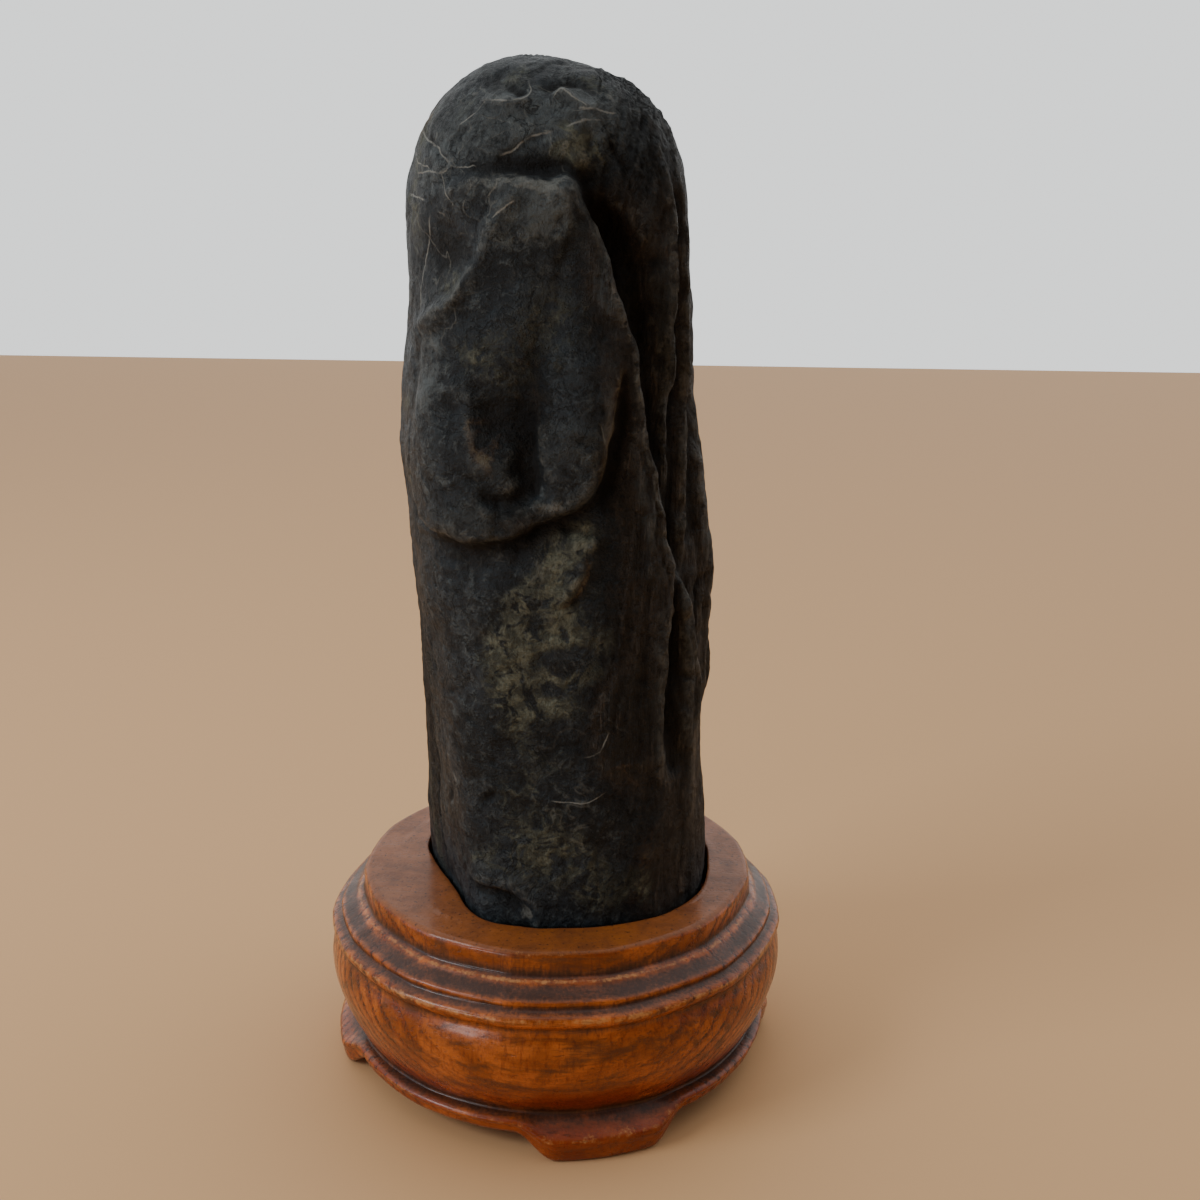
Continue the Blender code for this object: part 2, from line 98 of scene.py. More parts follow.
FLOOR_SIZE = 8.0
FLOOR_COLOUR = (0.64, 0.360, 0.165)
FLOOR_ROUGHNESS = 0.8
bpy.ops.mesh.primitive_plane_add(size=FLOOR_SIZE)
floor = bpy.context.object
floor.name = "floor"
floor_paint = bpy.data.materials.new("pale_floor")
floor_paint.use_nodes = True
floor_shader = floor_paint.node_tree.nodes["Principled BSDF"]
floor_shader.inputs["Base Color"].default_value = (*FLOOR_COLOUR, 1.0)
floor_shader.inputs["Roughness"].default_value = FLOOR_ROUGHNESS
floor.data.materials.append(floor_paint)

MIDDLE = (0.0, 0.0, 0.12)
STAND_MIDDLE = (0.0, 0.0, 0.03)
# name, place, target, size, watts, colour
LAMPS = (
    ("window", (-0.95, -0.50, 0.85), MIDDLE, (0.50, 0.36), 7.5, (0.88, 0.95, 1.0)),
    ("side_window", (-1.05, -0.28, 0.30), MIDDLE, (0.40, 0.45), 1.45, (0.54, 0.77, 1.0)),
    ("low_window", (-0.85, -1.02, 0.24), STAND_MIDDLE, (0.32, 0.17), 2.6, (0.84, 0.93, 1.0)),
)
for lamp in LAMPS:
    add_lamp(*lamp)

# %% A room that is bright at the back
ROOM_COLOUR = (0.84, 0.86, 0.86, 1.0)
BRIGHT_SIDE = Vector((0.14, 0.88, 0.42)).normalized()
DIM, BRIGHT = 0.10, 1.55  # the room's light away from that side and on it
FADE_FROM, FADE_TO = -0.40, 0.78  # how much a direction faces that side

world = bpy.data.worlds.new("room")
world.use_nodes = True
room = world.node_tree
direction = room.nodes.new("ShaderNodeTexCoord").outputs["Generated"]
facing = room.nodes.new("ShaderNodeVectorMath")
facing.operation = "DOT_PRODUCT"
facing.inputs[1].default_value = BRIGHT_SIDE
room.links.new(direction, facing.inputs[0])
fade = room.nodes.new("ShaderNodeMapRange")
fade.interpolation_type = "SMOOTHSTEP"
for socket, value in zip(fade.inputs[1:5], (FADE_FROM, FADE_TO, DIM, BRIGHT)):
    socket.default_value = value
room.links.new(facing.outputs["Value"], fade.inputs["Value"])
room.nodes["Background"].inputs["Color"].default_value = ROOM_COLOUR
room.links.new(fade.outputs["Result"], room.nodes["Background"].inputs["Strength"])
scene.world = world
print("room light from", DIM, "to", BRIGHT)

# %% [markdown]
# ## The stone before the carving
# The real stone is one river-worn pillar. It could be sculpted by hand, or grown from a
# displaced sphere. Here it is a function: a point's azimuth round the axis and its share of the
# way down the skin give its place, so the same few measures make a coarse solid or a fine mesh.
# Lengths are in millimetres and azimuths in degrees, 0 at the front and positive to the right.

# %% The pillar's measures
STONE_FOOT = 39.0
STONE_TOP = 254.6
DOME_START = 219.0
DOME_POWER = 2.3
APEX_SHIFT = -4.0  # the top leans this far to the left of the axis
OUTLINE_POWER = 2.35  # 2 is an ellipse; higher is squarer
MEAN_RADIUS = 38.0  # turns degrees round the stone into millimetres across it

# Reach of the stone from the stand's axis: height, to the left, right, front and back
REACH = (
    (39.0, 35.0, 39.5, 38.0, 34.5),
    (51.5, 37.0, 40.5, 39.3, 36.0),
    (70.0, 36.0, 39.5, 38.8, 36.5),
    (95.0, 35.5, 38.0, 38.3, 36.5),
    (120.0, 37.0, 37.8, 38.0, 36.0),
    (135.0, 38.2, 38.7, 37.6, 36.0),
    (150.0, 38.8, 36.8, 37.3, 35.5),
    (165.0, 41.2, 34.7, 37.5, 35.0),
    (178.0, 40.4, 32.5, 37.4, 34.3),
    (192.0, 37.7, 31.6, 37.0, 33.9),
    (205.0, 37.5, 31.4, 36.3, 33.5),
    (222.0, 37.5, 30.3, 34.3, 33.0),
    (255.0, 36.2, 29.6, 33.6, 32.0),
)
# Flat cuts: azimuth they face, distance from the axis low down and high up, heights of those
CUTS = ((-66.0, 31.2, 39.5, 51.5, 135.0),)
CUT_BLEND = 1.6
# Stations on the way down: on the dome, on the side, and on the foot's rounded edge
DOME_STATIONS, SIDE_STATIONS, FOOT_STATIONS = 60, 60, 8
FOOT_ROUNDING = 4.0
FOOT_INSET = 0.1  # share of the reach that the rounding takes


# %% The pillar as a function
def smooth_step(x):
    """0 below 0, 1 above 1, and an even S between."""
    x = np.clip(x, 0.0, 1.0)
    return x * x * (3.0 - 2.0 * x)


def reach_at(azimuth, height):
    """Distance from the axis to the plain, uncarved pillar."""
    table = np.asarray(REACH)
    left, right, front, back = (np.interp(height, table[:, 0], table[:, k]) for k in range(1, 5))
    across, ahead = np.sin(np.radians(azimuth)), np.cos(np.radians(azimuth))
    wide = np.where(across < 0.0, left, right)
    deep = np.where(ahead > 0.0, front, back)
    power = OUTLINE_POWER
    reach = (np.abs(across / wide) ** power + np.abs(ahead / deep) ** power) ** (-1.0 / power)
    for facing, low, high, low_height, high_height in CUTS:
        away = np.interp(height, (low_height, high_height), (low, high))
        toward = np.cos(np.radians(azimuth - facing))
        over = np.minimum((reach - away / np.maximum(toward, 0.05)) / CUT_BLEND, 30.0)
        reach = reach - CUT_BLEND * np.logaddexp(0.0, over)
    return reach


def meridian():
    """The way down the skin from 0 to 1, with the height and the share of the full reach."""
    dome = [
        (DOME_START + (STONE_TOP - DOME_START) * math.sin(a) ** (2 / DOME_POWER),
         math.cos(a) ** (2 / DOME_POWER))
        for a in np.linspace(math.pi / 2, 0.0, DOME_STATIONS)
    ]
    side_end = STONE_FOOT + FOOT_ROUNDING
    side = [(h, 1.0) for h in np.linspace(DOME_START, side_end, SIDE_STATIONS)[1:]]
    foot = [
        (STONE_FOOT + FOOT_ROUNDING * (1.0 - math.sin(a)), 1.0 - FOOT_INSET + FOOT_INSET * math.cos(a))
        for a in np.linspace(0.0, math.pi / 2, FOOT_STATIONS)[1:]
    ]
    profile = np.array(dome + side + foot + [(STONE_FOOT, 0.0)])
    steps = np.hypot(np.diff(profile[:, 0]), np.diff(profile[:, 1] * MEAN_RADIUS))
    travelled = np.concatenate([[0.0], np.cumsum(steps)]) / steps.sum()
    return travelled, profile[:, 0], profile[:, 1]


def pillar(azimuth, along):
    """Points of the uncarved pillar. along runs from 0 at the top to 1 under the foot."""
    travelled, heights, shares = meridian()
    height = np.interp(along, travelled, heights)
    share = np.interp(along, travelled, shares)
    reach = reach_at(azimuth, height) * share
    lean = np.where(height > DOME_START, APEX_SHIFT * (1.0 - share), 0.0)
    turn = np.radians(azimuth)
    return np.stack([reach * np.sin(turn) + lean, -reach * np.cos(turn), height], -1)


def pillar_normals(azimuth, along, plain):
    """The outward direction of the plain pillar's skin at each point."""
    step = 1e-3
    across = pillar(azimuth + 0.5, along) - pillar(azimuth - 0.5, along)
    lower, upper = np.minimum(along + step, 1.0), np.maximum(along - step, 0.0)
    normal = np.cross(pillar(azimuth, lower) - pillar(azimuth, upper), across)
    length = np.linalg.norm(normal, axis=-1, keepdims=True)
    upright = np.where(plain[:, 2:] > DOME_START, (0.0, 0.0, 1.0), (0.0, 0.0, -1.0))
    return np.where(length > 1e-6, normal / np.maximum(length, 1e-6), upright)


print("the way down the skin has", len(meridian()[0]), "stations")

# %% [markdown]
# ## Strokes on the skin
# A carver thinks in strokes: a ridge here, a step there, a thumb-print of a hollow. The Skin
# below takes such strokes, and the same strokes also lay down colour, because on a real stone
# the stain follows the form. A brush texture could do this too, but strokes that hold an azimuth
# and a height can be read, moved and checked.


# %% The skin and its strokes
def through(points, per_span=8):
    """The smooth curve through a short list of points, with any values they carry."""
    points = np.asarray(points, float)
    ends = np.vstack([2 * points[0] - points[1], points, 2 * points[-1] - points[-2]])
    curve = []
    for a, b, c, d in zip(ends, ends[1:], ends[2:], ends[3:]):
        for t in np.arange(per_span) / per_span:
            bend = (2 * a - 5 * b + 4 * c - d) * t + (3 * (b - c) + d - a) * t * t
            curve.append(b + 0.5 * t * ((c - a) + bend))
    return np.vstack([curve, points[-1]])


def wobble(points, salt):
    """A wandering shift in millimetres, which makes every stroke stray as a natural edge does."""
    shift = np.empty(len(points))
    for i, p in enumerate(points):
        place = Vector(p) + Vector((salt, 0.0, 0.0))
        shift[i] = 1.1 * noise.noise(place / 9.0) + 0.45 * noise.noise(place / 3.0)
    return shift


class Skin:
    """Where each point of the plain pillar is, and what has been laid on it, by layer.

    The layer "out" moves the skin along its normal and "down" lets it hang; the others are stains,
    marks, and painted highlight and shade that the finish reads.
    """

    def __init__(self, azimuth, plain):
        self.plain = plain
        self.azimuth = azimuth + np.degrees(wobble(plain, 40.0) / MEAN_RADIUS)
        self.height = plain[:, 2] + wobble(plain, 90.0)
        self.layers = {}

    def layer(self, name):
        return self.layers.setdefault(name, np.zeros_like(self.azimuth))

    def nearest(self, line, reach):
        """The points within reach of the line: distance, side, share of the way, values there."""
        line = through(line)
        middle = np.mean(line[:, 0])
        across = np.radians(line[:, 0]) * MEAN_RADIUS
        lengths = np.hypot(np.diff(across), np.diff(line[:, 1]))
        along = np.concatenate([[0.0], np.cumsum(lengths)]) / lengths.sum()
        here = np.radians((self.azimuth - middle + 180.0) % 360.0 - 180.0 + middle) * MEAN_RADIUS
        near = np.flatnonzero(
            (here > across.min() - reach) & (here < across.max() + reach)
            & (self.height > line[:, 1].min() - reach) & (self.height < line[:, 1].max() + reach)
        )
        here, height = here[near], self.height[near]
        best = np.full(here.shape, np.inf)
        side, share = np.zeros_like(best), np.zeros_like(best)
        for i, length in enumerate(lengths):
            du, dv = across[i + 1] - across[i], line[i + 1, 1] - line[i, 1]
            pu, pv = here - across[i], height - line[i, 1]
            t = np.clip((pu * du + pv * dv) / length**2, 0.0, 1.0)
            gap = np.hypot(pu - t * du, pv - t * dv)
            closer = gap < best
            best = np.where(closer, gap, best)
            side = np.where(closer, np.sign(du * pv - dv * pu), side)
            share = np.where(closer, along[i] + t * (along[i + 1] - along[i]), share)
        values = [np.interp(share, along, line[:, k]) for k in range(2, line.shape[1])]
        return near, best, side, share, values

    def crease(self, line, width, layer="out", taper=0.05):
        """A ridge, a furrow or a streak. Points: azimuth, height, amount."""
        near, gap, _, share, (amount,) = self.nearest(line, reach=width * 2.8)
        ends = smooth_step(np.minimum(share, 1.0 - share) / taper)
        self.layer(layer)[near] += amount * ends * np.exp(-((gap / width) ** 2))

    def cliff(self, line, reach_up, reach_down, edge=1.2, taper=0.05):
        """A step. Points: azimuth, height, rise on the line's right, fall on its left."""
        reach = max(reach_up, reach_down) * 2.8
        near, gap, side, share, (rise, fall) = self.nearest(line, reach)
        ends = smooth_step(np.minimum(share, 1.0 - share) / taper)
        high = 0.5 + 0.5 * np.tanh(-side * gap / edge)
        up = rise * np.exp(-((gap / reach_up) ** 2))
        fallen = -fall * np.exp(-((gap / reach_down) ** 2))
        self.layer("out")[near] += ends * (high * up + (1.0 - high) * fallen)

    def dab(self, azimuth, height, wide, tall, amount, lean=0.0, layer="out"):
        """A lump, a hollow, a stain, a painted highlight or a painted shade; lean turns it clockwise."""
        turn = (self.azimuth - azimuth + 180.0) % 360.0 - 180.0
        du, dv = np.radians(turn) * MEAN_RADIUS, self.height - height
        c, s = math.cos(math.radians(lean)), math.sin(math.radians(lean))
        size = ((du * c - dv * s) / wide) ** 2 + ((du * s + dv * c) / tall) ** 2
        self.layer(layer)[:] += amount * np.exp(-size)

    def swell(self, centre, radius, amount):
        """A broad swelling round a point in space, or a flattening where it is negative."""
        away = np.linalg.norm(self.plain - np.array(centre), axis=1)
        self.layer("out")[:] += amount * np.exp(-((away / radius) ** 2))

    def vein(self, line, family):
        """A hairline: its signed distance in millimetres, and how strongly it shows there."""
        fade, far = 2.4, 4.0
        near, gap, side, share, _ = self.nearest(line, reach=far)
        shows = smooth_step((far - gap) / fade) * smooth_step(np.minimum(share, 1.0 - share) / 0.12)
        distance, showing = self.layer(family + "_gap"), self.layer(family + "_shows")
        wins = shows > showing[near]
        distance[near[wins]] = (side * gap)[wins]
        showing[near[wins]] = shows[wins]


print("strokes:", [name for name in vars(Skin) if not name.startswith("_")])

# %% [markdown]
# ## The main forms
# These are the strokes that give the stone its figure: a hood under the dome, a cloak whose
# right hem stands proud of a fluted flank, two lobes with an overhanging rim, and long flutes
# down the back. A step is drawn so that the high side lies to the right of its direction.

# %% The long edges
CLOAK_HEM = (
    (0, 230, 0.0, 0.0),
    (3.5, 227, 0.2, 0.2),
    (8, 223, 2.0, 5.0),
    (14.5, 217, 2.8, 7.5),
    (20, 209, 2.8, 8.5),
    (24.5, 200, 2.6, 8.0),
    (29, 190, 2.2, 6.5),
    (32, 181, 2.0, 5.6),
    (35, 172, 1.7, 4.8),
    (38, 161, 1.5, 4.0),
    (41.5, 151, 1.3, 3.3),
    (44.5, 143, 1.1, 2.8),
    (48.5, 137, 1.0, 2.6),
    (54, 130, 1.0, 2.2),
    (59, 118, 1.0, 1.6),
    (62, 104, 0.8, 1.2),
    (64, 86, 0.5, 0.8),
    (64, 70, 0.2, 0.3),
)
SHOULDER = (
    (-70, 216, 0.1, 0.1),
    (-58, 219.5, 0.4, 0.2),
    (-44, 223, 0.8, 0.4),
    (-28, 225.5, 1.6, 0.8),
    (-14, 225, 3.0, 1.5),
    (0, 225, 3.4, 1.8),
    (9, 224.5, 2.2, 0.6),
    (20, 225, 0.0, 0.0),
)
BROW = (
    (46, 210, 0.4, 0.6),
    (38, 213.5, 0.9, 1.6),
    (29, 217.5, 1.2, 2.8),
    (20, 220, 1.2, 3.0),
    (12, 221, 0.8, 1.8),
    (7, 222, 0.2, 0.4),
)
LOBE_RIM = (
    (22, 189, 0.4, 0.2),
    (20.5, 179, 1.0, 0.9),
    (18.5, 168, 1.8, 1.7),
    (15, 160, 2.1, 1.9),
    (9, 155, 2.1, 1.6),
    (-2, 151, 2.1, 1.5),
    (-12, 148.5, 2.3, 1.4),
    (-22, 146, 2.5, 1.3),
    (-34, 146.5, 2.7, 1.2),
    (-48, 149, 2.3, 1.0),
    (-62, 154, 1.5, 0.6),
    (-78, 163, 0.5, 0.2),
)


# %% The front
def carve_front(skin):
    """The cloak: shoulder, fold, two lobes with their overhanging rim, and the hem."""
    skin.cliff(CLOAK_HEM, reach_up=9.0, reach_down=12.0, edge=1.0)
    skin.cliff(SHOULDER, reach_up=14.0, reach_down=7.0, edge=1.5)
    skin.cliff(BROW, reach_up=9.0, reach_down=16.0, edge=1.5)
    skin.cliff(LOBE_RIM, reach_up=15.0, reach_down=9.0, edge=1.1)
    skin.crease([(a, h + 2.0, 0.9) for a, h, _, _ in LOBE_RIM], width=3.0, layer="down", taper=0.3)
    fold = ((-14, 222, 0.6), (-21, 215, 1.2), (-27, 208, 1.5), (-34, 201, 1.5))
    skin.crease(fold + ((-47, 196, 1.4), (-62, 191, 0.8)), width=2.5)
    skin.dab(-44, 210, 10.0, 9.0, -3.0, lean=-20.0)
    skin.dab(-37, 171, 15.0, 17.0, 2.3)
    skin.dab(7, 178, 7.5, 18.0, 1.8)
    skin.dab(-12, 196, 9.0, 14.0, 0.8)
    valley = ((-6, 208, -0.4), (-2, 200, -0.9), (-4, 191, -1.4), (-9, 182, -1.9))
    skin.crease(valley + ((-10, 174, -2.8), (-8, 165, -3.1), (-8, 155, -2.2)), width=4.2)
    slit = ((-7.5, 154, 0.5, 0.8), (-6, 162, 0.9, 1.4), (-6.5, 170, 0.7, 1.0), (-8.5, 176, 0.2, 0.3))
    skin.cliff(slit, reach_up=4.0, reach_down=5.0, edge=0.7)
    skin.dab(-20, 173, 6.5, 9.0, -3.0)
    skin.crease(((-34, 182, 0.3), (-30, 176, 1.0), (-27, 168, 1.2), (-23, 161, 0.5)), width=2.4)
    furrow = ((25, 190, -0.4), (24.5, 181, -1.2), (22, 170, -1.8), (19, 161, -1.6))
    skin.crease(furrow + ((17, 152, -0.6),), width=2.4)
    crack = ((15.5, 147, 0.9, 0.5), (13.5, 140, 1.1, 0.7), (10, 134, 1.0, 0.6), (3, 130, 0.4, 0.3))
    skin.cliff(crack, reach_up=6.0, reach_down=5.0, edge=0.6)
    skin.crease(((-24, 140, 0.3), (-20, 126, 0.9), (-21, 108, 0.8), (-23, 92, 0.3)), width=6.0)
    skin.crease(((12, 126, 0.2), (16, 112, 0.8), (16, 98, 0.8), (14, 84, 0.2)), width=6.0)


# %% The right flank
FLANK_FLUTES = (
    (((42, 236, 0.5), (46, 224, 1.4), (48, 210, 2.0), (48.5, 198, 2.2), (49.5, 187, 2.2),
      (49, 177, 2.0), (47.5, 167, 1.8), (47.5, 156, 0.8)), 1.8),
    (((54, 232, 0.4), (58, 220, 1.4), (58, 206, 1.6), (60, 192, 2.0), (58.5, 180, 2.0),
      (56, 168, 1.8), (55, 154, 1.0), (56, 144, 0.4)), 1.9),
    (((33, 212, -0.6), (37, 200, -1.6), (40, 188, -2.0), (42, 174, -2.0),
      (43, 163, -1.2)), 2.6),
    (((52, 226, -0.5), (54, 210, -1.6), (54, 196, -2.2), (54, 183, -2.6), (51.5, 171, -2.4),
      (51, 158, -1.6), (52, 147, -0.6)), 2.2),
    (((66, 224, -0.4), (66, 204, -1.4), (67, 188, -1.8), (64, 172, -2.0), (61, 156, -1.6),
      (60, 142, -0.8)), 2.4),
    (((74, 206, 0.4), (76, 184, 1.0), (71, 164, 1.6), (70, 148, 1.8), (74, 134, 2.0),
      (77, 118, 1.2), (76, 98, 0.4)), 3.6),
)


def carve_right_flank(skin):
    """Long flutes down the right side, the arched hollow low down and the rib beside it."""
    for line, width in FLANK_FLUTES:
        skin.crease(line, width)
    hollow = ((50, 128, -1.6), (47, 121, -3.2), (46, 111, -3.6), (45.5, 99, -2.8), (47, 86, -1.0))
    skin.crease(hollow, width=2.8)
    rib = ((50, 133, 0.6), (55, 122, 1.6), (57, 108, 1.8), (56, 92, 1.4), (53, 72, 0.6))
    skin.crease(rib, width=2.8)
    edge = ((37, 144, 0.4), (39.5, 128, 1.0), (40, 110, 1.1), (41, 92, 1.1), (39, 78, 1.0),
            (34, 64, 0.5))
    skin.crease(edge, width=3.2)
    skin.dab(28, 126, 7.0, 20.0, -0.8)


# %% The back and the two ends
def carve_back(skin):
    """Long wandering flutes round the left flank and the back, and a slanting ledge."""
    chance = random.Random(11)
    for count, azimuth in enumerate(range(100, 268, 12)):
        top, bottom = chance.uniform(196, 238), chance.uniform(62, 112)
        drift, bend = chance.uniform(-5, 5), chance.uniform(0, 6)
        deep = chance.uniform(1.2, 2.6) * (-1.0 if count % 2 else 0.6)
        line = []
        for share in (0.0, 0.2, 0.4, 0.6, 0.8, 1.0):
            turn = azimuth + drift * share + 3.5 * math.sin(bend + 5.0 * share)
            line.append((turn, top + share * (bottom - top), deep * math.sin(math.pi * share)))
        skin.crease(line, width=chance.uniform(2.2, 4.2))
    ledge = ((166, 180, 0.3, 0.3), (172, 168, 1.0, 0.8), (182, 157, 1.6, 1.4),
             (194, 150, 1.8, 1.6), (208, 139, 1.2, 1.0), (222, 132, 0.3, 0.3))
    skin.cliff(ledge, reach_up=15.0, reach_down=8.0)
    skin.crease(((-66, 142, -0.3), (-73, 122, -1.0), (-72, 98, -1.0), (-66, 74, -0.4)), width=5.0)
    skin.dab(200, 214, 15.0, 17.0, 1.8, lean=15.0)
    skin.dab(160, 222, 10.0, 12.0, -1.6)
    skin.dab(236, 112, 12.0, 20.0, 1.4)
    skin.dab(142, 92, 12.0, 18.0, 1.4)


def carve_ends(skin):
    """The dome's flattened right shoulder, and the chipped lower edge at the front left."""
    skin.swell((11.0, -4.0, 256.0), 10.0, -1.2)
    skin.swell((-16.0, 20.0, 246.0), 12.0, -1.8)
    skin.swell((12.0, 24.0, 240.0), 11.0, 1.2)
    skin.dab(12, 232, 3.2, 3.2, -1.0)
    skin.dab(4, 234, 5.0, 4.0, 0.9)
    chip = ((-6, 48, 0.2, 0.2), (-8, 53, 0.5, 0.6), (-12, 58, 0.8, 1.2), (-18, 60, 0.8, 1.2),
            (-27, 61, 0.8, 1.0), (-34, 62, 0.3, 0.3))
    skin.cliff(chip, reach_up=5.0, reach_down=5.0, edge=0.6)


print("long edges:", len(CLOAK_HEM) + len(SHOULDER) + len(BROW) + len(LOBE_RIM), "points")

# %% [markdown]
# ## The small relief
# Up close the skin has hairline cracks, crumbled pits under the lobes, fine flutes on the flank
# and shallow dents everywhere. The ones that catch the eye are drawn; the rest are scattered
# with a seeded random source, so that each run gives the same stone.

# %% Drawn creases, pits and cracks
FINE_CREASES = (
    # on the dome
    (((-33, 241.5, 0.3), (-24, 240.5, 0.7), (-17, 240.5, 0.9), (-12, 242.5, 0.8), (-11, 246, 0.3)), 1.2),
    (((-2, 241, 0.3), (2, 243.5, 0.9), (6, 242.5, 0.9), (11, 240.5, 0.7), (19, 239.5, 0.3)), 1.1),
    (((-23, 229.5, -0.3), (-16, 231, -0.6), (-8, 233, -0.6), (0, 234.5, -0.3)), 0.9),
    (((-20, 227.5, -0.4), (-10, 227, -1.0), (0, 227.5, -0.9), (7, 226.5, -0.4)), 1.1),
    (((21, 238, -0.3), (23, 232, -0.8), (28, 228, -0.7), (31, 222, -0.3)), 1.2),
    (((-66, 237, -0.3), (-52, 232.5, -0.4), (-41, 228, -0.4)), 0.9),
    # on the hood
    (((-10, 206, -0.2), (-16, 203, -0.4), (-21, 199, -0.3), (-27, 194, -0.2)), 1.6),
    (((-24, 210, 0.2), (-31, 203, 0.5), (-40, 196, 0.5), (-52, 190, 0.2)), 1.1),
    # slit between the lobes
    (((-8.6, 174, -0.2), (-7, 171, -0.9), (-6.7, 167, -1.2), (-5, 163, -1.1), (-6, 159, -1.2),
      (-7.4, 156, -0.5)), 1.0),
    # under the lobes' rim
    (((-30, 146.5, -0.3), (-18, 146, -1.0), (-9, 148, -1.3), (-4, 150, -1.2), (2, 152, -1.1),
      (7, 154, -1.0), (12, 157, -0.4)), 1.0),
    (((-66, 147, 0.2), (-54, 146.5, 0.5), (-42, 146, 0.5), (-34, 146, 0.2)), 0.9),
    (((2, 170, 0.2), (8, 170.6, 0.35), (13, 170, 0.4), (15.5, 171, 0.3)), 0.9),
    (((15.4, 171, 0.3), (13.5, 167.5, 0.45), (10, 164, 0.2)), 0.9),
    # the crack below
    (((12.5, 145, -0.4), (12, 139, -1.1), (9.5, 135.5, -1.2), (6, 132, -0.9), (0, 130.5, -0.3)), 0.9),
    # low on the front
    (((-19, 86, -0.2), (-22, 83.5, -1.0), (-26, 80.5, -0.3)), 0.9),
    (((-25, 89, 0.2), (-21, 86, 0.5), (-15, 86, 0.3), (-9, 84.5, 0.2)), 1.1),
    (((-3, 83.5, 0.1), (4, 83, 0.35), (12, 83.5, 0.35), (19, 86, 0.2)), 1.0),
    (((17, 91, 0.1), (25, 92.5, 0.3), (34, 91.5, 0.1)), 1.0),
    # the chipped edge
    (((-30, 58.5, -0.3), (-21, 59, -1.0), (-15, 58.5, -1.2), (-9, 56.5, -1.1), (-6, 52.5, -0.5)), 1.0),
)
FINE_DABS = (
    # azimuth, height, wide, tall, amount
    (-17, 244.0, 4.0, 1.6, -1.2),
    (-2, 245.5, 4.0, 1.4, -1.3),
    (9, 246.0, 4.5, 1.4, -1.3),
    (18, 244.5, 3.5, 1.5, -1.0),
    (-28, 245.5, 4.0, 1.6, -0.8),
    (-19, 228.0, 2.5, 2.0, -0.6),
    (-26.5, 177, 4.0, 3.2, -0.7),
    (-34, 176, 2.2, 2.6, -0.9),
    (-28, 160, 1.2, 1.2, -0.6),
    (-16, 155, 3.0, 2.0, -0.8),
    (-12, 163, 2.0, 3.0, -0.6),
    (12, 232, 2.4, 3.0, -0.5),
)


# %% Scattered relief
def wander(chance, azimuth, top, bottom, deep, stray):
    """A line down the skin that strays to the sides, strongest at its middle."""
    bend = chance.uniform(0.0, 6.3)
    line = []
    for share in (0.0, 0.25, 0.5, 0.75, 1.0):
        turn = azimuth + stray * math.sin(bend + 4.0 * share)
        line.append((turn, top + share * (bottom - top), deep * math.sin(math.pi * share)))
    return line


def carve_fine(skin):
    """Creases, pits, crumbled places, fine flutes and hairline cracks."""
    for line, width in FINE_CREASES:
        skin.crease(line, width)
    for azimuth, height, wide, tall, amount in FINE_DABS:
        skin.dab(azimuth, height, wide, tall, amount)
    chance = random.Random(29)
    for _ in range(60):  # crumbled stone under the lobes
        azimuth, height = chance.gauss(-11, 8), chance.gauss(152, 4.5)
        size = chance.uniform(0.8, 1.8)
        skin.dab(azimuth, height, size * 1.4, size, chance.uniform(-1.0, 0.6), chance.uniform(0, 90))
    for _ in range(120):  # fine flutes on the right flank
        azimuth, top = chance.uniform(32, 100), chance.uniform(120, 226)
        bottom = top - chance.uniform(12, 55)
        deep = chance.uniform(-0.95, 0.7)
        skin.crease(wander(chance, azimuth, top, bottom, deep, 1.6), chance.uniform(0.7, 1.3))
    for _ in range(90):  # fine flutes round the left flank and the back
        azimuth, top = chance.uniform(98, 312), chance.uniform(90, 236)
        bottom = top - chance.uniform(15, 60)
        deep = chance.uniform(-0.55, 0.35)
        skin.crease(wander(chance, azimuth, top, bottom, deep, 2.8), chance.uniform(0.8, 1.8))
    for _ in range(90):  # hairline cracks and scars all over, most of them level or slanting
        azimuth, height = chance.uniform(0, 360), chance.uniform(58, 246)
        length, slope = chance.uniform(3, 11), chance.gauss(0.0, 0.6)
        step = math.degrees(length / MEAN_RADIUS) / 2
        deep = -chance.uniform(0.15, 0.45)
        rise = slope * length / 2
        skin.crease(
            ((azimuth - step, height - rise, 0.3 * deep),
             (azimuth, height + chance.uniform(-0.8, 0.8), deep),
             (azimuth + step, height + rise, 0.3 * deep)),
            width=0.8,
        )


DENTS, GRAIN = 0.24, 0.14  # depths in millimetres
PLATE_STEP = 0.20  # between a worn plate and its neighbour
FURROW, SPLIT = 0.34, 0.20  # round a plate, and the finer ones across it


def weathered(points):
    """Shallow dents, worn plates with furrows between them and a fine roughness, in millimetres.

    On the flanks all of it is drawn out along the stone."""
    moved = np.empty(len(points))
    for i, p in enumerate(points):
        flank = min(1.0, max(0.0, (p[0] - 8.0) / 18.0, (p[1] + 5.0) / 20.0))
        place = Vector((p[0], p[1], p[2] * (1.0 - 0.70 * flank)))
        bend = noise.noise_vector(place / 6.0)
        plate = noise.noise(place / 9.0 + 0.5 * bend)
        split = noise.noise(place / 4.0 - 0.4 * bend)
        dents = DENTS * noise.fractal(place / 8.0, 0.8, 2.1, 3)
        grain = GRAIN * noise.fractal(place / 2.0, 0.7, 2.1, 3)
        furrows = FURROW * math.exp(-((plate / 0.07) ** 2)) + SPLIT * math.exp(-((split / 0.08) ** 2))
        dome = min(1.0, max(0.0, (p[2] - 224.0) / 12.0))
        rugged = 0.52 + 0.15 * dome + 0.40 * flank
        moved[i] = rugged * (dents + grain + PLATE_STEP * math.tanh(5.0 * plate) - furrows)
    return moved


print("drawn:", len(FINE_CREASES), "creases and", len(FINE_DABS), "pits")
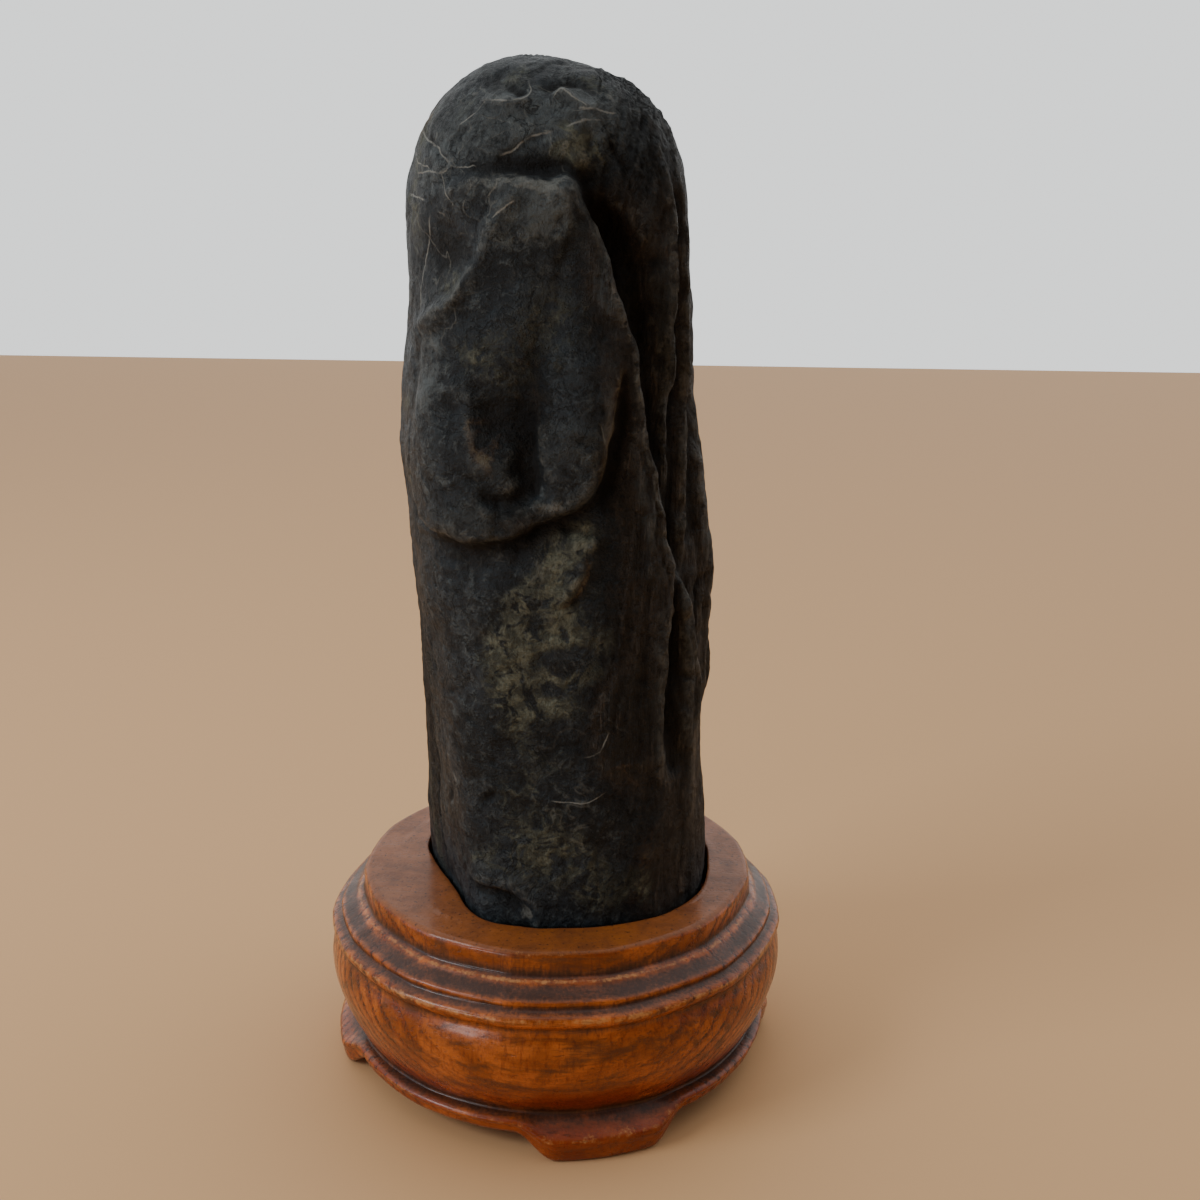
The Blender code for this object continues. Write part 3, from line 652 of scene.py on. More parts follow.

# %% [markdown]
# ## The stains, and the painted highlight and shade
# The stone is nearly black, but no part of it is plain: olive clouds where the skin is worn
# through, ochre where iron has seeped along a crack, pale beige on the edges that hands have
# rubbed, and brown in the shaded flutes. Part of this is painted light: the pale beige along the
# shoulder, the fold, the hem and the ridges is also a painted highlight, the brown and near-black
# in the flutes, hollows and recesses and on the right flank is also painted shade, and a grey
# layer paints highlight on the lit forms and shade in the recesses. Each stain is a layer of soft
# dabs and streaks, which the finish later breaks up with noise, so that no soft round edge is
# ever seen.

# %% Where the stains and the painted highlight and shade lie
# azimuth, height, wide, tall, amount
OLIVE = (
    (4, 143, 5.5, 6.0, 1.25), (9, 148, 4.0, 3.5, 1.1), (-12, 131, 5.0, 5.0, 0.9),
    (5, 127, 4.0, 5.5, 1.2), (-6, 122, 6.0, 5.0, 1.0), (-17, 111, 4.5, 9.0, 0.8),
    (-11, 104, 4.0, 8.0, 0.6), (17, 122, 4.5, 5.0, 0.7), (15, 115, 4.0, 3.0, 0.8),
    (2, 113, 6.0, 3.0, 0.9), (1, 107, 6.0, 3.0, 0.9), (12, 104, 2.5, 6.0, 0.45),
    (-20, 122, 5.0, 6.0, 0.6), (-4, 136, 8.0, 4.0, 0.7),
    (1, 75, 10.0, 8.0, 0.40), (10, 66, 9.0, 8.0, 0.42), (18, 58, 8.0, 6.0, 0.45),
    (31, 60, 4.0, 5.0, 0.8), (-10, 70, 8.0, 8.0, 0.40), (-26, 66, 6.0, 8.0, 0.35),
    (-14, 86, 8.0, 8.0, 0.35), (5, 92, 10.0, 6.0, 0.3),
    (5, 232, 5.0, 4.2, 2.0), (16, 231, 3.0, 2.6, 0.7), (-20, 247, 8.0, 3.0, 0.5),
    (20, 247, 8.0, 3.0, 0.5), (-40, 240, 7.0, 4.0, 0.4), (-8, 215, 12.0, 8.0, 0.4),
    (-38, 203, 5.0, 5.0, 0.5), (-66, 100, 10.0, 25.0, 0.35), (-30, 188, 9.0, 5.0, 0.35),
    (0, 196, 9.0, 8.0, 0.45), (-14, 184, 9.0, 9.0, 0.4),
    (-18, 138, 5.0, 2.6, -0.9), (3, 119, 5.0, 2.2, -0.9), (0, 110.5, 2.4, 1.2, -0.8),
    (-7, 127, 3.0, 3.0, -0.5), (24, 104, 8.0, 12.0, -1.0),
)
OCHRE = (
    (-23, 167, 6.0, 6.0, 0.45), (20.5, 205, 1.6, 6.0, 0.9), (21, 190, 2.0, 5.0, 0.5),
    (-11, 185, 7.0, 12.0, 0.35), (0, 196, 6.0, 7.0, 0.22), (-8, 162, 3.0, 6.0, 0.35),
    (28, 168, 2.2, 12.0, 0.35), (24, 152, 3.0, 10.0, 0.25), (-17, 59, 4.0, 1.4, 0.6),
    (31, 62, 4.0, 6.0, 0.4), (-4, 122, 4.0, 4.0, 0.25), (10, 128, 3.0, 3.0, 0.25),
    (-62, 78, 7.0, 12.0, 0.2),
)
# pale weathering, and a painted highlight along the shoulder
PALE_AND_HIGHLIGHT = (
    (-4, 221.5, 7.0, 2.6, 0.32), (25, 243.5, 2.2, 2.6, 0.8), (-27, 224, 3.0, 3.0, 0.5),
    (-1, 155, 4.0, 1.6, 0.5), (-10, 54, 2.0, 3.0, 0.75), (4, 147, 3.0, 3.0, 0.35),
    (22, 239.5, 5.0, 1.4, 0.4), (-52, 220, 3.0, 3.0, 0.3), (6, 234, 3.0, 2.0, 0.3),
)
# brown stone, and painted shade in the flutes, the hollows, the recesses, under the lobes' rim and on
# the shaded right flank
BROWN_AND_PAINTED_SHADE = (
    (60, 190, 26.0, 60.0, 0.75), (62, 100, 22.0, 50.0, 0.8), (25, 101, 8.0, 14.0, 1.5),
    (23, 208, 9.0, 14.0, 1.2), (-9, 178, 6.0, 14.0, 0.5), (-75, 90, 14.0, 40.0, 0.5),
    (33, 160, 5.0, 22.0, 0.6), (-12, 151, 9.0, 4.0, 0.6), (180, 150, 60.0, 70.0, 0.30),
    (48, 106, 4.0, 22.0, 0.9), (38, 58, 9.0, 12.0, 0.8), (45, 185, 4.0, 30.0, 0.7),
    (19, 172, 3.0, 14.0, 0.8), (29, 134, 6.0, 14.0, 0.5),
)
# azimuth, height, amount; then the width
OCHRE_STREAKS = (
    (((-29, 171, 0.4), (-26, 167, 0.7), (-24, 165.5, 0.7), (-20, 165.5, 0.4)), 0.9),
    (((-24, 166, 0.6), (-22, 163, 0.6), (-19, 160.5, 0.3)), 0.9),
    (((-29, 170, 0.6), (-28, 173, 0.7), (-22, 173.5, 0.4)), 0.6),
    (((24, 189, 0.4), (22.5, 184, 1.0), (21, 177, 1.2), (19, 169.5, 1.2), (16, 163, 1.1),
      (13.5, 158, 0.5)), 1.7),
    (((12.5, 145, 0.3), (12, 139, 1.0), (9.5, 135.5, 1.0), (6, 132, 0.6), (0, 130.5, 0.2)), 0.8),
    (((17.5, 91, 0.5), (25.5, 92.5, 0.8), (34, 91.5, 0.6)), 0.9),
    (((25, 91, 0.6), (30, 86, 0.7)), 1.0),
    (((43, 79, 0.4), (38, 76.5, 0.7), (34.5, 72, 0.7), (31, 64, 0.5)), 1.4),
    (((-28, 59, 0.4), (-21, 60, 0.8), (-15, 59, 0.8), (-10, 56.5, 0.4)), 0.8),
    (((30, 186, 0.2), (33, 172, 0.6), (36, 160, 0.5), (40, 148, 0.2)), 1.2),
)
# pale streaks, most of them a painted highlight along the shoulder, the fold, the hem, the lobe rim and
# the ridges
PALE_AND_HIGHLIGHT_STREAKS = (
    (((-29, 225.5, 0.4), (-18, 224.5, 0.6), (-8, 223.6, 0.7), (0, 223.6, 0.7), (6.5, 222, 0.6)), 1.3),
    (((-20, 223.5, 0.5), (-12, 222.2, 0.9), (-4, 222.4, 0.9), (3, 220.8, 0.6)), 0.5),
    (((-26, 226.0, 0.4), (-18, 226.2, 0.8), (-10, 225.2, 0.6)), 0.5),
    (((-22, 219, 0.6), (-23, 216, 0.6), (-27, 212, 0.6), (-33, 207, 0.6), (-39, 201, 0.6),
      (-48, 196, 0.5), (-62, 191, 0.3)), 0.9),
    (((-30, 199, 0.3), (-41, 194.5, 0.5), (-54, 190.5, 0.4), (-70, 189, 0.3)), 0.9),
    (((6.5, 223, 0.6), (12.5, 216, 0.7), (17, 208, 0.7), (21, 200, 0.7), (25.5, 190, 0.8),
      (28.5, 181, 0.8), (31.5, 172, 0.8), (35, 161, 0.8), (39, 150, 0.7), (43, 142, 0.6),
      (49, 135, 0.6), (54, 128, 0.4)), 0.8),
    (((49, 212, 0.3), (48, 198, 0.6), (45, 187, 0.7), (41.5, 177, 0.7), (40, 166, 0.5)), 0.6),
    (((59, 205, 0.2), (60, 192, 0.5), (56, 180, 0.5), (52, 168, 0.4)), 0.6),
    (((-9, 226, 0.3), (-2, 219, 0.4), (3, 217, 0.3), (8, 218, 0.2)), 0.9),
    (((-64, 148, 0.3), (-54, 147, 0.6), (-42, 147, 0.5), (-34, 147.5, 0.3)), 0.7),
    (((3, 171, 0.2), (9, 171.3, 0.5), (14, 171.3, 0.7), (13.5, 168, 0.5), (10, 165, 0.3)), 0.7),
    (((-6, 155, 0.7), (-1, 155, 0.8), (5, 157, 0.5)), 0.8),
    (((0, 199, 0.4), (-2, 195, 0.5), (-4, 190, 0.3)), 1.2),
    (((-57, 111, 0.3), (-50, 101, 0.5), (-44, 90, 0.5), (-38, 78, 0.6), (-33, 64, 0.4)), 0.7),
    (((-51, 70, 0.3), (-44, 65, 0.7), (-42, 58, 0.4)), 0.8),
    (((-46, 74, 0.2), (-40, 67, 0.6), (-36, 60, 0.5)), 0.6),
    (((-10, 57, 0.6), (-7, 53, 0.9)), 1.0),
    (((39, 128, 0.2), (40, 112, 0.4), (41, 94, 0.5), (39.5, 82, 0.3)), 0.8),
    (((50, 126, 0.3), (54, 122, 0.5), (56, 112, 0.4), (56, 98, 0.3)), 0.7),
)


# %% The hairline veins
# Two veins that touch are put in different families, because each family keeps one distance.
VEINS = {
    "vein_a": (
        ((-68, 237), (-52, 232.5), (-44, 229.5), (-41, 228)),
        ((-22.7, 230.3), (-18, 231), (-12, 233), (-7, 234), (-1, 235)),
        ((-33, 241.5), (-24.5, 240.8), (-18, 240.5), (-13, 242), (-11, 244.5), (-12, 247)),
        ((9, 239.5), (19, 239.7), (27, 239.8)),
        ((-50, 218), (-53, 213), (-57, 206), (-56, 196)),
        ((118, 206), (132, 199), (150, 203), (166, 196)),
        ((200, 178), (212, 170), (226, 172), (240, 163)),
        ((-102, 204), (-92, 199), (-82, 201)),
    ),
    "vein_b": (
        ((-62, 227.5), (-51.5, 226.8), (-45, 226.5), (-41, 228)),
        ((3, 236), (7, 236.6), (12, 237), (19, 237.8)),
        ((-1.5, 241.5), (2, 243.3), (5.3, 242.7), (9.5, 241), (14.7, 239.8)),
        ((-70, 224), (-61, 222), (-52, 220.4)),
        ((-22, 216), (-19, 217.5), (-14, 219.5)),
        ((15, 174), (16.5, 170)),
        ((10, 95), (16, 96.5), (20, 100)),
        ((214, 182), (216, 166), (211, 152), (215, 138)),
    ),
    "vein_c": (
        ((-72, 233), (-62, 230), (-53.5, 228), (-51.7, 226.8)),
        ((-41, 228), (-35, 227.9), (-30, 228.5)),
        ((-40, 236), (-34, 238), (-29, 242)),
        ((-45, 226.5), (-40, 222), (-36, 219)),
        ((-1, 83.8), (5, 83.4), (12, 83.8), (19, 86)),
        ((176, 232), (188, 226), (202, 228), (214, 222)),
    ),
}
# Where a grey painted highlight lies on the lit forms, and where painted shade makes the skin blackest.
# azimuth, height, wide, tall, amount
PAINTED_HIGHLIGHT_AND_SHADE = (
    (-18, 238, 26.0, 13.0, 0.85), (14, 234, 12.0, 8.0, 0.5), (30, 244, 14.0, 7.0, 0.4),
    (-50, 226, 12.0, 10.0, 0.6), (-4, 217, 10.0, 5.0, 0.9), (-18, 211, 10.0, 5.0, 0.5),
    (-47, 181, 8.0, 13.0, 1.0), (-42, 160, 9.0, 6.0, 0.5), (-40, 200, 10.0, 6.0, 0.5),
    (2, 190, 5.0, 9.0, 0.35), (8, 172, 5.0, 4.0, 0.4), (-28, 130, 9.0, 14.0, 0.5),
    (-33, 104, 8.0, 20.0, 0.4), (42, 150, 3.0, 30.0, 0.45), (57, 176, 4.0, 34.0, 0.5),
    (180, 150, 60.0, 60.0, 0.3), (-62, 84, 10.0, 26.0, 0.7), (62, 228, 10.0, 14.0, 0.5),
    (-21, 172, 6.0, 9.0, -1.2), (-8, 180, 3.0, 10.0, -0.7), (14, 181, 4.0, 9.0, -0.6),
    (-14, 152, 12.0, 3.0, -1.0), (-19, 138, 5.0, 3.0, -0.7), (24, 110, 7.0, 22.0, -1.0),
    (19, 226, 7.0, 5.0, -0.6), (-12, 227.5, 12.0, 1.6, -0.9), (24, 132, 5.0, 14.0, -0.8),
    (-30, 86, 6.0, 8.0, -0.4), (-2, 98, 12.0, 4.0, -0.6), (-36, 216, 5.0, 5.0, -0.4),
)
# Where the skin is webbed with paler threads. azimuth, height, wide, tall, amount
WEBBED = (
    (-10, 240, 34.0, 14.0, 0.9), (-48, 214, 14.0, 14.0, 0.9), (-24, 222, 14.0, 6.0, 0.8),
    (-44, 196, 12.0, 8.0, 0.6), (12, 106, 10.0, 22.0, 0.5), (180, 235, 60.0, 20.0, 0.6),
    (-4, 76, 18.0, 14.0, 0.5), (-60, 66, 12.0, 16.0, 0.6), (0, 140, 16.0, 14.0, 0.4),
)


# %% Lay the stains and the painted highlight and shade
STAIN_AND_LIGHT_DABS = {
    "olive": OLIVE,
    "ochre": OCHRE,
    "pale": PALE_AND_HIGHLIGHT,
    "dusky": BROWN_AND_PAINTED_SHADE,
    "bloom": PAINTED_HIGHLIGHT_AND_SHADE,
    "webbed": WEBBED,
}
STAIN_AND_HIGHLIGHT_STREAKS = {"ochre": OCHRE_STREAKS, "pale": PALE_AND_HIGHLIGHT_STREAKS}
SCATTERED = {"olive": 34, "ochre": 16, "pale": 10}  # how many dabs lie round the back


def stain(skin):
    """Lays every stain, vein, painted highlight and painted shade on the skin, with freely scattered
    stains round the back.
    """
    for name, dabs in STAIN_AND_LIGHT_DABS.items():
        for azimuth, height, wide, tall, amount in dabs:
            skin.dab(azimuth, height, wide, tall, amount, layer=name)
    for name, streaks in STAIN_AND_HIGHLIGHT_STREAKS.items():
        for line, width in streaks:
            skin.crease(line, width, layer=name, taper=0.12)
    for family, lines in VEINS.items():
        for line in lines:
            skin.vein(line, family)
    chance = random.Random(5)
    for name, count in SCATTERED.items():
        for _ in range(count):
            azimuth, height = chance.uniform(78, 300), chance.uniform(55, 246)
            wide, tall = chance.uniform(3, 9), chance.uniform(3, 12)
            skin.dab(azimuth, height, wide, tall, chance.uniform(0.3, 0.8), layer=name)


print("veins:", sum(len(lines) for lines in VEINS.values()))

# %% [markdown]
# ## The stone's mesh
# The skin is read on a net of rows and columns, with the columns crowded a little towards the
# front and few rows wasted in the seat. The net also makes the relief easy to compare: where the
# skin stands out from its own average it is rubbed pale and given a painted highlight, and where
# it lies below it is given painted shade.

# %% The net
COLUMNS = 316
ROWS = 312
SEAT_ROWS = 14  # rows for what the seat hides
FRONT_CROWDING = 17.0  # degrees by which columns are drawn towards the front
HIDDEN_BELOW = 49.0


def net():
    """Azimuth and way down of the points: the top, the rows from top to bottom, the underside."""
    turn = np.arange(COLUMNS) / COLUMNS
    azimuth = 360.0 * turn - FRONT_CROWDING * np.sin(2 * math.pi * turn)
    travelled, heights, _ = meridian()
    seen = np.interp(-HIDDEN_BELOW, -heights[:-FOOT_STATIONS], travelled[:-FOOT_STATIONS])
    upper = np.linspace(0.0, seen, ROWS - SEAT_ROWS + 1)[1:]
    lower = np.linspace(seen, 1.0, SEAT_ROWS + 1)[1:-1]
    along = np.concatenate([upper, lower])
    columns, rows = np.meshgrid(azimuth, along)
    azimuth_all = np.concatenate([[0.0], columns.ravel(), [0.0]])
    along_all = np.concatenate([[0.0], rows.ravel(), [1.0]])
    return azimuth_all, along_all, len(along)


def blurred(values, rows, passes):
    """The net's values after a number of small blurs; columns close on themselves."""
    grid = values[1:-1].reshape(rows, -1)
    for _ in range(passes):
        grid = (np.roll(grid, 1, 1) + 2.0 * grid + np.roll(grid, -1, 1)) / 4.0
        padded = np.vstack([grid[:1], grid, grid[-1:]])
        grid = (padded[:-2] + 2.0 * padded[1:-1] + padded[2:]) / 4.0
    return np.concatenate([values[:1], grid.ravel(), values[-1:]])


azimuth, along, row_count = net()
plain = pillar(azimuth, along)
normals = pillar_normals(azimuth, along, plain)
skin = Skin(azimuth, plain)
carve_front(skin)
carve_right_flank(skin)
carve_back(skin)
carve_ends(skin)
carve_fine(skin)
stain(skin)
lumps = 0.8 * np.array([noise.fractal(Vector(p / 26.0), 0.9, 2.1, 4) for p in plain])
relief = skin.layer("out") + lumps + weathered(plain)
fade_in_seat = smooth_step((plain[:, 2] - STONE_FOOT) / 5.0)
stone_points = plain + normals * (relief * fade_in_seat)[:, None]
stone_points[:, 2] -= skin.layer("down") * fade_in_seat
print("stone:", len(stone_points), "points; relief from", relief.min(), "to", relief.max())

# %% Rubbed wear, painted highlight and painted shade, from the relief
fine_form = blurred(relief, row_count, 10)
broad_form = blurred(relief, row_count, 90)
# where these are above zero the finish paints rubbed wear and a painted highlight, and below zero a
# painted shade
skin.layers["edge"] = np.clip((blurred(relief, row_count, 2) - fine_form) * 2.4, -1.0, 1.0)
skin.layers["high"] = np.clip((fine_form - broad_form) * 0.75, -1.0, 1.0)
print("edge:", skin.layers["edge"].std(), "high:", skin.layers["high"].std())


# %% From a net to a mesh
def net_faces(rows, columns):
    """Faces of a closed net with a point at each end, wound to face outwards."""
    first, last = 0, rows * columns + 1
    faces = []
    for c in range(columns):
        n = (c + 1) % columns
        faces.append((first, 1 + c, 1 + n))
        base = 1 + (rows - 1) * columns
        faces.append((last, base + n, base + c))
        for r in range(rows - 1):
            a, b = 1 + r * columns, 1 + (r + 1) * columns
            faces.append((a + c, b + c, b + n, a + n))
    return faces


def net_object(name, points, rows, columns, layers):
    """A smooth mesh object from a net, with its layers as attributes for the finish."""
    mesh = bpy.data.meshes.new(name)
    mesh.from_pydata([tuple(p) for p in np.asarray(points) * MM], [], net_faces(rows, columns))
    for layer, values in layers.items():
        attribute = mesh.attributes.new(layer, "FLOAT", "POINT")
        attribute.data.foreach_set("value", np.asarray(values, np.float32))
    mesh.shade_smooth()
    made = bpy.data.objects.new(name, mesh)
    scene.collection.objects.link(made)
    return made


kept_layers = {name: values for name, values in skin.layers.items() if name not in ("out", "down")}
stone_skin = net_object("stone_skin", stone_points, row_count, COLUMNS, kept_layers)
stone_skin.data.calc_loop_triangles()
print("stone_skin:", len(stone_skin.data.loop_triangles), "triangles")

# %% [markdown]
# ## A small kit for finishes
# A finish is a graph of nodes. Wiring it by hand hides the idea behind the plumbing, so this
# kit gives each step one short call: noise of a size in millimetres, a soft threshold, a mix of
# two colours. All patterns read the object's own coordinates, so they stay put on the piece.


# %% The finish kit
class Finish:
    """A material whose nodes are made and wired by short calls."""

    def __init__(self, name):
        self.material = bpy.data.materials.new(name)
        self.material.use_nodes = True
        self.tree = self.material.node_tree
        self.shader = self.tree.nodes["Principled BSDF"]
        self.place = self.node("ShaderNodeTexCoord").outputs["Object"]

    def node(self, kind, **settings):
        made = self.tree.nodes.new(kind)
        for name, value in settings.items():
            setattr(made, name, value)
        return made

    def feed(self, socket, value):
        """Puts a value, a colour or another node's output on a socket."""
        if isinstance(value, bpy.types.NodeSocket):
            self.tree.links.new(value, socket)
        elif isinstance(value, tuple) and len(value) == 3 and socket.type == "RGBA":
            socket.default_value = (*value, 1.0)
        else:
            socket.default_value = value

    def calc(self, operation, *values):
        made = self.node("ShaderNodeMath", operation=operation)
        for socket, value in zip(made.inputs, values):
            self.feed(socket, value)
        return made.outputs[0]

    def layer(self, name):
        return self.node("ShaderNodeAttribute", attribute_name=name).outputs["Fac"]

    def stretched(self, x=1.0, y=1.0, z=1.0):
        """The place, with each direction drawn out by so many times."""
        made = self.node("ShaderNodeVectorMath", operation="MULTIPLY")
        self.feed(made.inputs[0], self.place)
        made.inputs[1].default_value = (1.0 / x, 1.0 / y, 1.0 / z)
        return made.outputs[0]

    def noise(self, size, detail=4.0, rough=0.55, warp=0.0, place=None):
        """Cloudy noise between 0 and 1, whose blotches are about this many millimetres."""
        made = self.node("ShaderNodeTexNoise")
        self.feed(made.inputs["Vector"], place or self.place)
        made.inputs["Scale"].default_value = 1000.0 / size
        made.inputs["Detail"].default_value = detail
        made.inputs["Roughness"].default_value = rough
        made.inputs["Distortion"].default_value = warp
        return made.outputs["Fac"]

    def step(self, value, low, high, to_low=0.0, to_high=1.0):
        """A soft threshold: to_low up to low, to_high from high on."""
        made = self.node("ShaderNodeMapRange", interpolation_type="SMOOTHSTEP")
        for socket, given in zip(made.inputs, (value, low, high, to_low, to_high)):
            self.feed(socket, given)
        return made.outputs["Result"]

    def product(self, *values):
        """All the values multiplied together."""
        result = values[0]
        for value in values[1:]:
            result = self.calc("MULTIPLY", result, value)
        return result

    def stir(self, value, noise, amount):
        """A value moved up and down by noise, around the noise's middle."""
        return self.calc("MULTIPLY_ADD", self.calc("SUBTRACT", noise, 0.5), amount, value)

    def from_middle(self, noise):
        """How far noise is from its middle: zero along thin wandering lines."""
        return self.calc("ABSOLUTE", self.calc("SUBTRACT", noise, 0.5))

    def cover(self, under, over, *shares):
        """under covered by over, as far as the product of the shares says."""
        made = self.node("ShaderNodeMix", data_type="RGBA")
        self.feed(made.inputs["Factor"], self.product(*shares))
        self.feed(made.inputs[6], under)
        self.feed(made.inputs[7], over)
        return made.outputs[2]

    def relief(self, height, depth, onto=None):
        """Bumps of this depth in millimetres."""
        made = self.node("ShaderNodeBump")
        made.inputs["Strength"].default_value = 1.0
        made.inputs["Distance"].default_value = depth * MM
        self.feed(made.inputs["Height"], height)
        if onto is not None:
            self.feed(made.inputs["Normal"], onto)
        return made.outputs["Normal"]

    def put_on(self, colour, rough, bumps):
        """Puts the three results on the shader."""
        for name, value in (("Base Color", colour), ("Roughness", rough), ("Normal", bumps)):
            self.feed(self.shader.inputs[name], value)


print("finish kit ready")

# %% [markdown]
# ## The stone's finish
# Oiled black stone is dark blue-grey with a satin gloss. Every stain layer, and every layer of
# painted highlight and shade, is added to noise and cut with a soft threshold, which gives
# ragged, mineral edges. A vein is drawn where its signed distance passes zero; the noise added
# to the distance makes it wander and break.

# %% Colours of the stone
STONE_BLACK = (0.0030, 0.0040, 0.0048)
STONE_SLATE = (0.0185, 0.0240, 0.0290)
STONE_GREY = (0.074, 0.084, 0.084)  # the speckles
# grey for the painted highlight, and for the strips beside the cracks
STONE_ASH = (0.074, 0.083, 0.083)  # the bloom
# brown: the stone's own, and painted shade on the flanks
STONE_BROWN = (0.035, 0.0245, 0.0165)
# near-black painted shade in the recesses and hollows
STONE_DEEP = (0.0048, 0.0040, 0.0034)
STONE_STREAK = (0.115, 0.092, 0.072)
STONE_OLIVE = (0.150, 0.150, 0.104)
STONE_MOSS = (0.042, 0.043, 0.031)
STONE_OCHRE = (0.120, 0.094, 0.054)
STONE_RUST = (0.046, 0.024, 0.011)
# beige: pale weathering, threads and scratches, and the painted highlight on edges and ridges
STONE_BEIGE = (0.180, 0.172, 0.146)
VEIN_CREAM = (0.235, 0.225, 0.195)
VEIN_HALF_WIDTHS = {"vein_a": 0.22, "vein_b": 0.19, "vein_c": 0.16}  # millimetres
STONE_GLOSS = 0.24
print("stone colours: 12, and one for the veins")


# %% The stone's noises
def stone_noises(f):
    """From broad clouds to grit, and two that are drawn out along the stone."""
    return SimpleNamespace(
        cloud=f.noise(16.0, detail=6.0, rough=0.6, warp=0.4),
        patch=f.noise(5.0, detail=7.0, rough=0.68, warp=0.6),
        mottle=f.noise(2.6, detail=6.0, rough=0.75, warp=0.3),
        grit=f.noise(1.1, detail=4.0, rough=0.7),
        drawn=f.noise(2.2, detail=5.0, rough=0.7, place=f.stretched(z=7.0)),
        fibrous=f.noise(0.9, detail=4.0, rough=0.65, place=f.stretched(z=9.0)),
    )


def spread(f, n, laid, low, high, noisy=0.9):
    """A laid layer (a stain, a painted highlight or a painted shade) broken up by the noises and cut
    softly; where nothing is laid, nothing shows.
    """
    broken = f.stir(laid, n.patch, noisy)
    broken = f.stir(broken, n.cloud, noisy * 0.6)
    broken = f.stir(broken, n.mottle, noisy * 1.1)
    broken = f.stir(broken, n.grit, noisy * 0.8)
    return f.product(f.step(broken, low, high), f.step(laid, 0.04, 0.24))


# %% The dark ground, its painted highlight and shade, and its cracks
def ground(f, n):
    """Black and slate in clouds, with grey speckles."""
    colour = f.cover(STONE_BLACK, STONE_SLATE, f.step(n.cloud, 0.38, 0.66))
    colour = f.cover(colour, STONE_SLATE, f.step(n.patch, 0.52, 0.66, 0.0, 0.6))
    colour = f.cover(colour, STONE_GREY, f.step(n.mottle, 0.53, 0.66, 0.0, 0.62))
    return f.cover(colour, STONE_BLACK, f.step(n.patch, 0.46, 0.36, 0.0, 0.80))


def bloomed(f, n, colour):
    """Grey painted highlight where its layer is above zero, and deeper black painted shade where it is
    below.
    """
    laid = f.layer("bloom")
    stirred = f.stir(f.stir(laid, n.patch, 1.5), n.mottle, 2.0)
    bloom = f.product(f.step(stirred, 0.32, 1.15), f.step(laid, 0.05, 0.3))
    # painted highlight: grey where the forms face the light
    colour = f.cover(colour, STONE_ASH, bloom, 0.85)
    # painted shade: near-black in the recesses and under the rims
    dimmed = f.stir(laid, n.patch, -0.8)
    return f.cover(colour, STONE_BLACK, f.step(dimmed, -0.15, -0.75, 0.0, 0.85))


def cracked(f, n, colour):
    """Fine cracks with a grey strip on both sides. Gives the colour and the cracks."""
    seam = f.from_middle(f.noise(5.5, detail=5.0, rough=0.60, warp=0.7))
    fissure = f.product(f.step(seam, 0.022, 0.006), f.step(n.cloud, 0.36, 0.58))
    beside = f.product(f.step(seam, 0.016, 0.030), f.step(seam, 0.070, 0.034))
    colour = f.cover(colour, STONE_ASH, beside, f.step(n.mottle, 0.42, 0.62), 0.40)
    return f.cover(colour, STONE_BLACK, fissure, 0.80), fissure


# %% Brown with painted shade, olive, ochre, and pale with painted highlight
def browned_and_shaded(f, n, colour):
    """Brown-black flanks with streaks drawn down them: the stone's own brown, and painted shade in the
    flutes, hollows and recesses and on the right flank. Gives the colour and the brown with its shade.
    """
    dusky = f.product(spread(f, n, f.layer("dusky"), 0.26, 0.80), 0.9)
    colour = f.cover(colour, STONE_BROWN, dusky)
    # painted shade: near-black where the brown is laid deepest
    colour = f.cover(colour, STONE_DEEP, spread(f, n, f.layer("dusky"), 0.60, 1.15), 0.9)
    colour = f.cover(colour, STONE_STREAK, f.step(n.drawn, 0.54, 0.72, 0.0, 0.7), dusky)
    edges = f.step(n.fibrous, 0.58, 0.72, 0.0, 0.5)
    return f.cover(colour, STONE_STREAK, edges, dusky), dusky


def clouded(f, n, colour):
    """Olive clouds, netted like worn lichen. Gives the colour and the olive."""
    cells = f.from_middle(f.noise(7.5, detail=5.0, rough=0.62, warp=1.0))
    netted = f.product(f.step(cells, 0.13, 0.02, 0.35, 1.35), f.layer("olive"))
    colour = f.cover(colour, STONE_MOSS, spread(f, n, netted, 0.20, 0.75), 0.65)
    olive = f.product(spread(f, n, netted, 0.42, 1.15), 0.85)
    green = f.cover(STONE_MOSS, STONE_OLIVE, f.step(n.mottle, 0.40, 0.64))
    return f.cover(colour, green, olive), olive


def seeped(f, n, colour):
    """Rust and ochre where iron seeped, then the beige, which is pale weathering and, along edges and
    ridges, a painted highlight. Gives the colour and the beige.
    """
    ochre = f.layer("ochre")
    colour = f.cover(colour, STONE_RUST, spread(f, n, ochre, 0.34, 0.95, 1.5), 0.70)
    colour = f.cover(colour, STONE_OCHRE, spread(f, n, ochre, 0.72, 1.30, 1.7), 0.75)
    # pale weathering, and painted highlight along edges and ridges
    pale = f.product(spread(f, n, f.layer("pale"), 0.45, 1.10, 1.5), 0.62)
    return f.cover(colour, STONE_BEIGE, pale), pale


